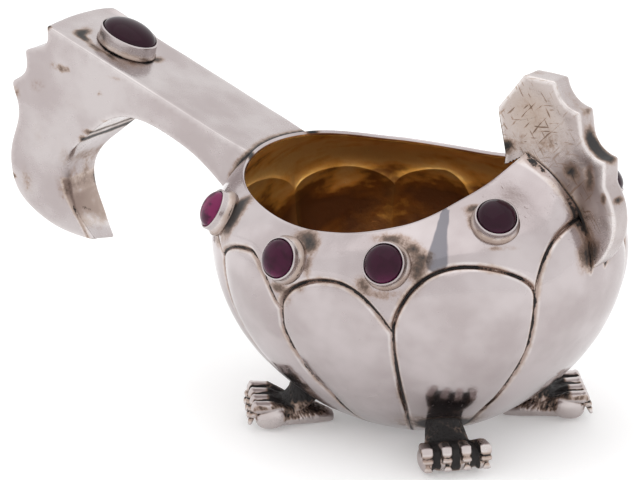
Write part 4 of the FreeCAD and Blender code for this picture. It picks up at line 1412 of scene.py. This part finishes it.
class Shader:
    """Adds nodes to one material; sizes are in millimetres."""

    def __init__(self, name):
        self.material = bpy.data.materials.new(name)
        self.material.use_nodes = True
        self.nodes = self.material.node_tree.nodes
        self.links = self.material.node_tree.links
        self.surface = self.nodes["Principled BSDF"]
        self.place = self.nodes.new("ShaderNodeTexCoord").outputs["Object"]

    def give(self, socket, value):
        if isinstance(value, bpy.types.NodeSocket):
            self.links.new(value, socket)
        else:
            socket.default_value = value

    def math(self, operation, first, second=0.0, clamp=False):
        node = self.nodes.new("ShaderNodeMath")
        node.operation = operation
        node.use_clamp = clamp
        self.give(node.inputs[0], first)
        self.give(node.inputs[1], second)
        return node.outputs[0]

    def total(self, *values):
        result = values[0]
        for value in values[1:]:
            result = self.math("ADD", result, value)
        return result

    def scaled(self, value, factor, shift=0.0):
        return self.math("ADD", self.math("MULTIPLY", value, factor), shift)

    def mask(self, name):
        node = self.nodes.new("ShaderNodeAttribute")
        node.attribute_name = name
        return node.outputs["Fac"]

    def noise(self, size, detail=2.0, roughness=0.5, turn=None, stretch=1.0):
        node = self.nodes.new("ShaderNodeTexNoise")
        node.inputs["Scale"].default_value = 1000 / size
        node.inputs["Detail"].default_value = detail
        node.inputs["Roughness"].default_value = roughness
        place = self.place
        if turn is not None:
            mapping = self.nodes.new("ShaderNodeMapping")
            mapping.vector_type = "TEXTURE"
            mapping.inputs["Rotation"].default_value = turn
            mapping.inputs["Scale"].default_value = (1, 1, stretch)
            self.links.new(place, mapping.inputs["Vector"])
            place = mapping.outputs["Vector"]
        self.links.new(place, node.inputs["Vector"])
        return node.outputs["Fac"]

    def ramp(self, value, low, high, first=0.0, last=1.0):
        node = self.nodes.new("ShaderNodeMapRange")
        node.interpolation_type = "SMOOTHSTEP"
        for name, number in (("From Min", low), ("From Max", high), ("To Min", first), ("To Max", last)):
            node.inputs[name].default_value = number
        self.give(node.inputs["Value"], value)
        return node.outputs["Result"]

    def colors(self, value, *stops):
        node = self.nodes.new("ShaderNodeValToRGB")
        line = node.color_ramp
        while len(line.elements) < len(stops):
            line.elements.new(0.5)
        for element, (place, color) in zip(line.elements, stops):
            element.position = place
            element.color = (*color, 1)
        self.give(node.inputs["Fac"], value)
        return node.outputs["Color"]

    def mix(self, factor, first, second, blend="MIX"):
        node = self.nodes.new("ShaderNodeMix")
        node.data_type = "RGBA"
        node.blend_type = blend
        self.give(node.inputs["Factor"], factor)
        self.give(node.inputs[6], first)
        self.give(node.inputs[7], second)
        return node.outputs[2]

    def bump(self, height):
        """Bump from a height in millimetres."""
        node = self.nodes.new("ShaderNodeBump")
        node.inputs["Distance"].default_value = MM
        self.give(node.inputs["Height"], height)
        self.links.new(node.outputs["Normal"], self.surface.inputs["Normal"])

    def deep_scratches(self):
        """A few long dark scratches that cross each other."""
        lines = [
            self.ramp(self.noise(size, 1.5, 0.5, turn, 14), 0.63, 0.71)
            for size, turn in ((0.6, (0.1, 0.75, 0.0)), (0.5, (-0.1, -0.6, 0.0)), (0.6, (0.0, 1.45, 0.1)))
        ]
        return self.math("MAXIMUM", self.math("MAXIMUM", lines[0], lines[1]), lines[2])

    def scratches(self):
        """Fine polishing scratches in two directions."""
        first = self.ramp(self.noise(0.35, 1.5, 0.5, (0.4, 1.1, 0.3), 38), 0.66, 0.74)
        second = self.ramp(self.noise(0.28, 1.5, 0.5, (1.3, 0.2, 0.9), 30), 0.68, 0.76)
        return self.math("MAXIMUM", first, second)


def old_silver(name, clean, dull, smooth, rough):
    """Polished old silver, black in its grooves and stained where the masks say, with painted highlights
    beside the grooves and on rounded edges and a painted dark reflection where the shade mask says.
    """
    s = Shader(name)
    cloud = s.noise(17, 3, 0.55)
    patch = s.noise(4.5, 4, 0.62)
    grain = s.noise(0.9, 3, 0.6)
    fine = s.noise(0.3, 2, 0.5)
    groove = s.mask("groove")
    stain = s.mask("stain")
    width = s.ramp(s.noise(6.0, 2, 0.5), 0.35, 0.65, 0.0, 0.32)
    ragged = s.total(groove, s.scaled(grain, 0.5, -0.25), s.scaled(fine, 0.25, -0.12), s.scaled(width, -1.0))
    line = s.ramp(ragged, 0.12, -0.06)
    halo = s.ramp(s.total(groove, s.scaled(patch, 2.6, -1.3)), 1.3, 0.1, 0.0, 0.3)
    # Painted highlight in a band beside each groove
    wear_and_painted_light = s.math("MULTIPLY", s.ramp(groove, 0.45, 0.7), s.ramp(groove, 1.3, 0.8))
    uneven = s.total(s.scaled(patch, 1.0, -0.5), s.scaled(grain, 0.5, -0.25), s.scaled(fine, 0.2, -0.1))
    there = s.ramp(stain, 0.0, 0.3)
    stained = s.ramp(s.total(stain, s.math("MULTIPLY", uneven, there)), 0.05, 1.05)
    scratch = s.scratches()
    scuff = s.mask("scuff")
    scuffed = s.math("MULTIPLY", scuff, s.deep_scratches())
    hollow = s.ramp(s.mask("hollow"), 0.03, 0.15)
    amount = s.math("ADD", s.total(line, halo, stained, s.scaled(scuffed, 0.55)), hollow, clamp=True)
    base = s.mix(s.ramp(cloud, 0.36, 0.66), clean, dull)
    base = s.mix(s.scaled(wear_and_painted_light, 0.5), base, (0.72, 0.68, 0.67, 1))
    base = s.mix(s.scaled(scuff, 0.6), base, (0.35, 0.255, 0.185, 1))
    # Painted highlight on rounded edges, from the edge mask
    painted_edge_highlight = s.math("MULTIPLY", s.mask("edge"), s.ramp(patch, 0.3, 0.5, 0.4, 0.8))
    base = s.mix(painted_edge_highlight, base, (0.86, 0.82, 0.81, 1))
    # Painted dark reflection streak on the shoulder, where the shade mask says
    shaded = s.ramp(s.total(s.mask("shade"), s.scaled(patch, 0.4, -0.2)), 0.25, 0.6)
    base = s.mix(s.scaled(shaded, 0.85), base, (0.15, 0.148, 0.17, 1))
    dark = s.colors(
        amount, (0.0, (1, 1, 1)), (0.25, (0.76, 0.66, 0.58)), (0.6, (0.31, 0.24, 0.19)),
        (1.0, (0.025, 0.022, 0.022)),
    )
    s.give(s.surface.inputs["Base Color"], s.mix(1.0, base, dark, "MULTIPLY"))
    s.give(s.surface.inputs["Metallic"], s.ramp(amount, 0.3, 1.0, 1.0, 0.25))
    finish = s.total(
        s.ramp(cloud, 0.3, 0.7, smooth, rough), s.scaled(amount, 0.3), s.scaled(scratch, 0.12),
        s.scaled(grain, 0.06),
    )
    s.give(s.surface.inputs["Roughness"], finish)
    pits = s.ramp(s.noise(1.6, 1, 0.4), 0.72, 0.78)
    height = s.total(
        s.scaled(patch, 0.05), s.scaled(grain, 0.006), s.scaled(scratch, -0.006),
        s.scaled(pits, -0.02), s.math("MULTIPLY", amount, s.scaled(grain, 0.03)),
    )
    s.bump(height)
    return s.material


def old_gilding():
    """Worn gilding in random brown and bright patches, painted lighter towards the rim, with a faint painted
    highlight on the raised lines.
    """
    s = Shader("gilt_inside")
    cloud = s.noise(14, 3, 0.55, (0.5, 0.3, 0.1), 0.4)
    patch = s.noise(3.0, 4, 0.65)
    grain = s.noise(0.8, 3, 0.6)
    groove = s.mask("groove")
    # Faint painted highlight on the raised lines between the petals
    painted_ridge_highlight = s.ramp(s.total(groove, s.scaled(patch, 1.6, -0.8)), 2.2, 0.1)
    # Random worn and bright patches, shifted lighter towards the rim by the shade mask as painted light
    wear_and_painted_light = s.colors(
        s.total(cloud, s.scaled(patch, 0.15, -0.075), s.scaled(s.mask("shade"), 0.36, -0.19)),
        (0.3, (0.13, 0.045, 0.012)), (0.45, (0.26, 0.10, 0.02)), (0.56, (0.85, 0.42, 0.08)),
        (0.68, (1.0, 0.62, 0.2)),
    )
    color = s.mix(s.scaled(painted_ridge_highlight, 0.1), wear_and_painted_light, (0.80, 0.44, 0.10, 1))
    s.give(s.surface.inputs["Base Color"], color)
    s.surface.inputs["Metallic"].default_value = 0.75
    s.give(s.surface.inputs["Roughness"], s.total(s.ramp(cloud, 0.3, 0.7, 0.42, 0.24), s.scaled(grain, 0.1)))
    s.bump(s.total(s.scaled(patch, 0.12), s.scaled(grain, 0.012)))
    return s.material


def dark_stone():
    """Dark purple polished stone, with painted light glowing in its lower edge."""
    s = Shader("dark_stone")
    cloud = s.noise(2.6, 3, 0.5)
    painted_glow = s.mask("painted_glow")
    color = s.colors(
        s.math("MULTIPLY", painted_glow, s.ramp(cloud, 0.3, 0.6, 0.4, 1.0)),
        (0.0, (0.016, 0.003, 0.008)), (0.4, (0.07, 0.007, 0.035)), (1.0, (0.32, 0.03, 0.13)),
    )
    s.give(s.surface.inputs["Base Color"], color)
    s.surface.inputs["Roughness"].default_value = 0.1
    s.surface.inputs["IOR"].default_value = 1.5
    s.surface.inputs["Specular IOR Level"].default_value = 0.16
    s.bump(s.scaled(s.noise(1.2, 2, 0.5), 0.006))
    return s.material


def make_materials():
    return {
        "bowl": old_silver("bowl_silver", (0.51, 0.458, 0.46, 1), (0.41, 0.358, 0.358, 1), 0.07, 0.17),
        "sheet": old_silver("sheet_silver", (0.51, 0.465, 0.462, 1), (0.415, 0.362, 0.36, 1), 0.16, 0.28),
        "cast": old_silver("cast_silver", (0.56, 0.51, 0.50, 1), (0.45, 0.39, 0.38, 1), 0.2, 0.34),
        "gilt": old_gilding(),
        "stone": dark_stone(),
    }


def make_stage():
    """Pale floor, soft light from all round and the camera."""
    scene = bpy.context.scene
    floor_mesh = bpy.data.meshes.new("floor")
    size = FLOOR_HALF_SIZE
    corners = [(-size, -size, 0), (size, -size, 0), (size, size, 0), (-size, size, 0)]
    floor_mesh.from_pydata(corners, [], [(0, 1, 2, 3)])
    floor = bpy.data.objects.new("floor", floor_mesh)
    scene.collection.objects.link(floor)
    material = bpy.data.materials.new("floor_white")
    material.use_nodes = True
    shader = material.node_tree.nodes["Principled BSDF"]
    shader.inputs["Base Color"].default_value = (FLOOR_GREY, FLOOR_GREY, FLOOR_GREY, 1)
    shader.inputs["Roughness"].default_value = 0.9
    shader.inputs["Emission Color"].default_value = (1, 1, 1, 1)
    shader.inputs["Emission Strength"].default_value = FLOOR_GLOW
    floor_mesh.materials.append(material)

    world = bpy.data.worlds.new("studio")
    scene.world = world
    world.use_nodes = True
    light = world.node_tree.nodes["Background"]
    light.inputs["Color"].default_value = (1, 1, 1, 1)
    light.inputs["Strength"].default_value = SKY_STRENGTH

    for name, place, side, power in LAMPS:
        data = bpy.data.lights.new(name, "AREA")
        data.shape = "RECTANGLE"
        data.size = side
        data.size_y = side
        data.energy = power
        lamp = bpy.data.objects.new(name, data)
        lamp.location = place
        aim = Vector(LAMP_AIM) - Vector(place)
        lamp.rotation_euler = aim.to_track_quat("-Z", "Y").to_euler()
        scene.collection.objects.link(lamp)

    camera_data = bpy.data.cameras.new("camera")
    camera = bpy.data.objects.new("camera", camera_data)
    scene.collection.objects.link(camera)
    scene.camera = camera
    camera_data.lens = CAMERA_LENS
    camera_data.sensor_width = SENSOR_WIDTH
    camera_data.clip_start = 0.05
    azimuth = math.radians(90 - CAMERA_AZIMUTH)
    elevation = math.radians(CAMERA_ELEVATION)
    level = math.cos(elevation)
    away = Vector((math.cos(azimuth) * level, -math.sin(azimuth) * level, math.sin(elevation)))
    target = Vector((CAMERA_TARGET[0] + AXIS_X, CAMERA_TARGET[1], CAMERA_TARGET[2])) * MM
    camera.location = target + away * CAMERA_DISTANCE * MM
    camera.rotation_euler = (-away).to_track_quat("-Z", "Y").to_euler()
    scene.view_settings.view_transform = "Standard"


materials = make_materials()
bowl_piece = make_bowl([materials["bowl"], materials["gilt"]])
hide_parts("bowl")
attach(bowl_piece, "root")

handle_piece = make_handle([materials["sheet"]])
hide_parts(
    "handle_top_plate", "handle_back_strip", "handle_arch_strip", "handle_hook_strip",
    "handle_cheek_left", "handle_cheek_right",
)
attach(handle_piece, "root")

prow_piece = make_prow([materials["sheet"]])
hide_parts("prow_cheek_left", "prow_cheek_right", "prow_edge_strip")
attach(prow_piece, "root")

all_pieces = [bowl_piece, handle_piece, prow_piece]
small_pieces = make_stones([materials["stone"], materials["sheet"]]) + make_feet([materials["cast"]])
for piece, slot in small_pieces:
    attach(piece, "root")
    all_pieces.append(piece)

for piece in all_pieces:
    hold_in_box(piece)

make_stage()
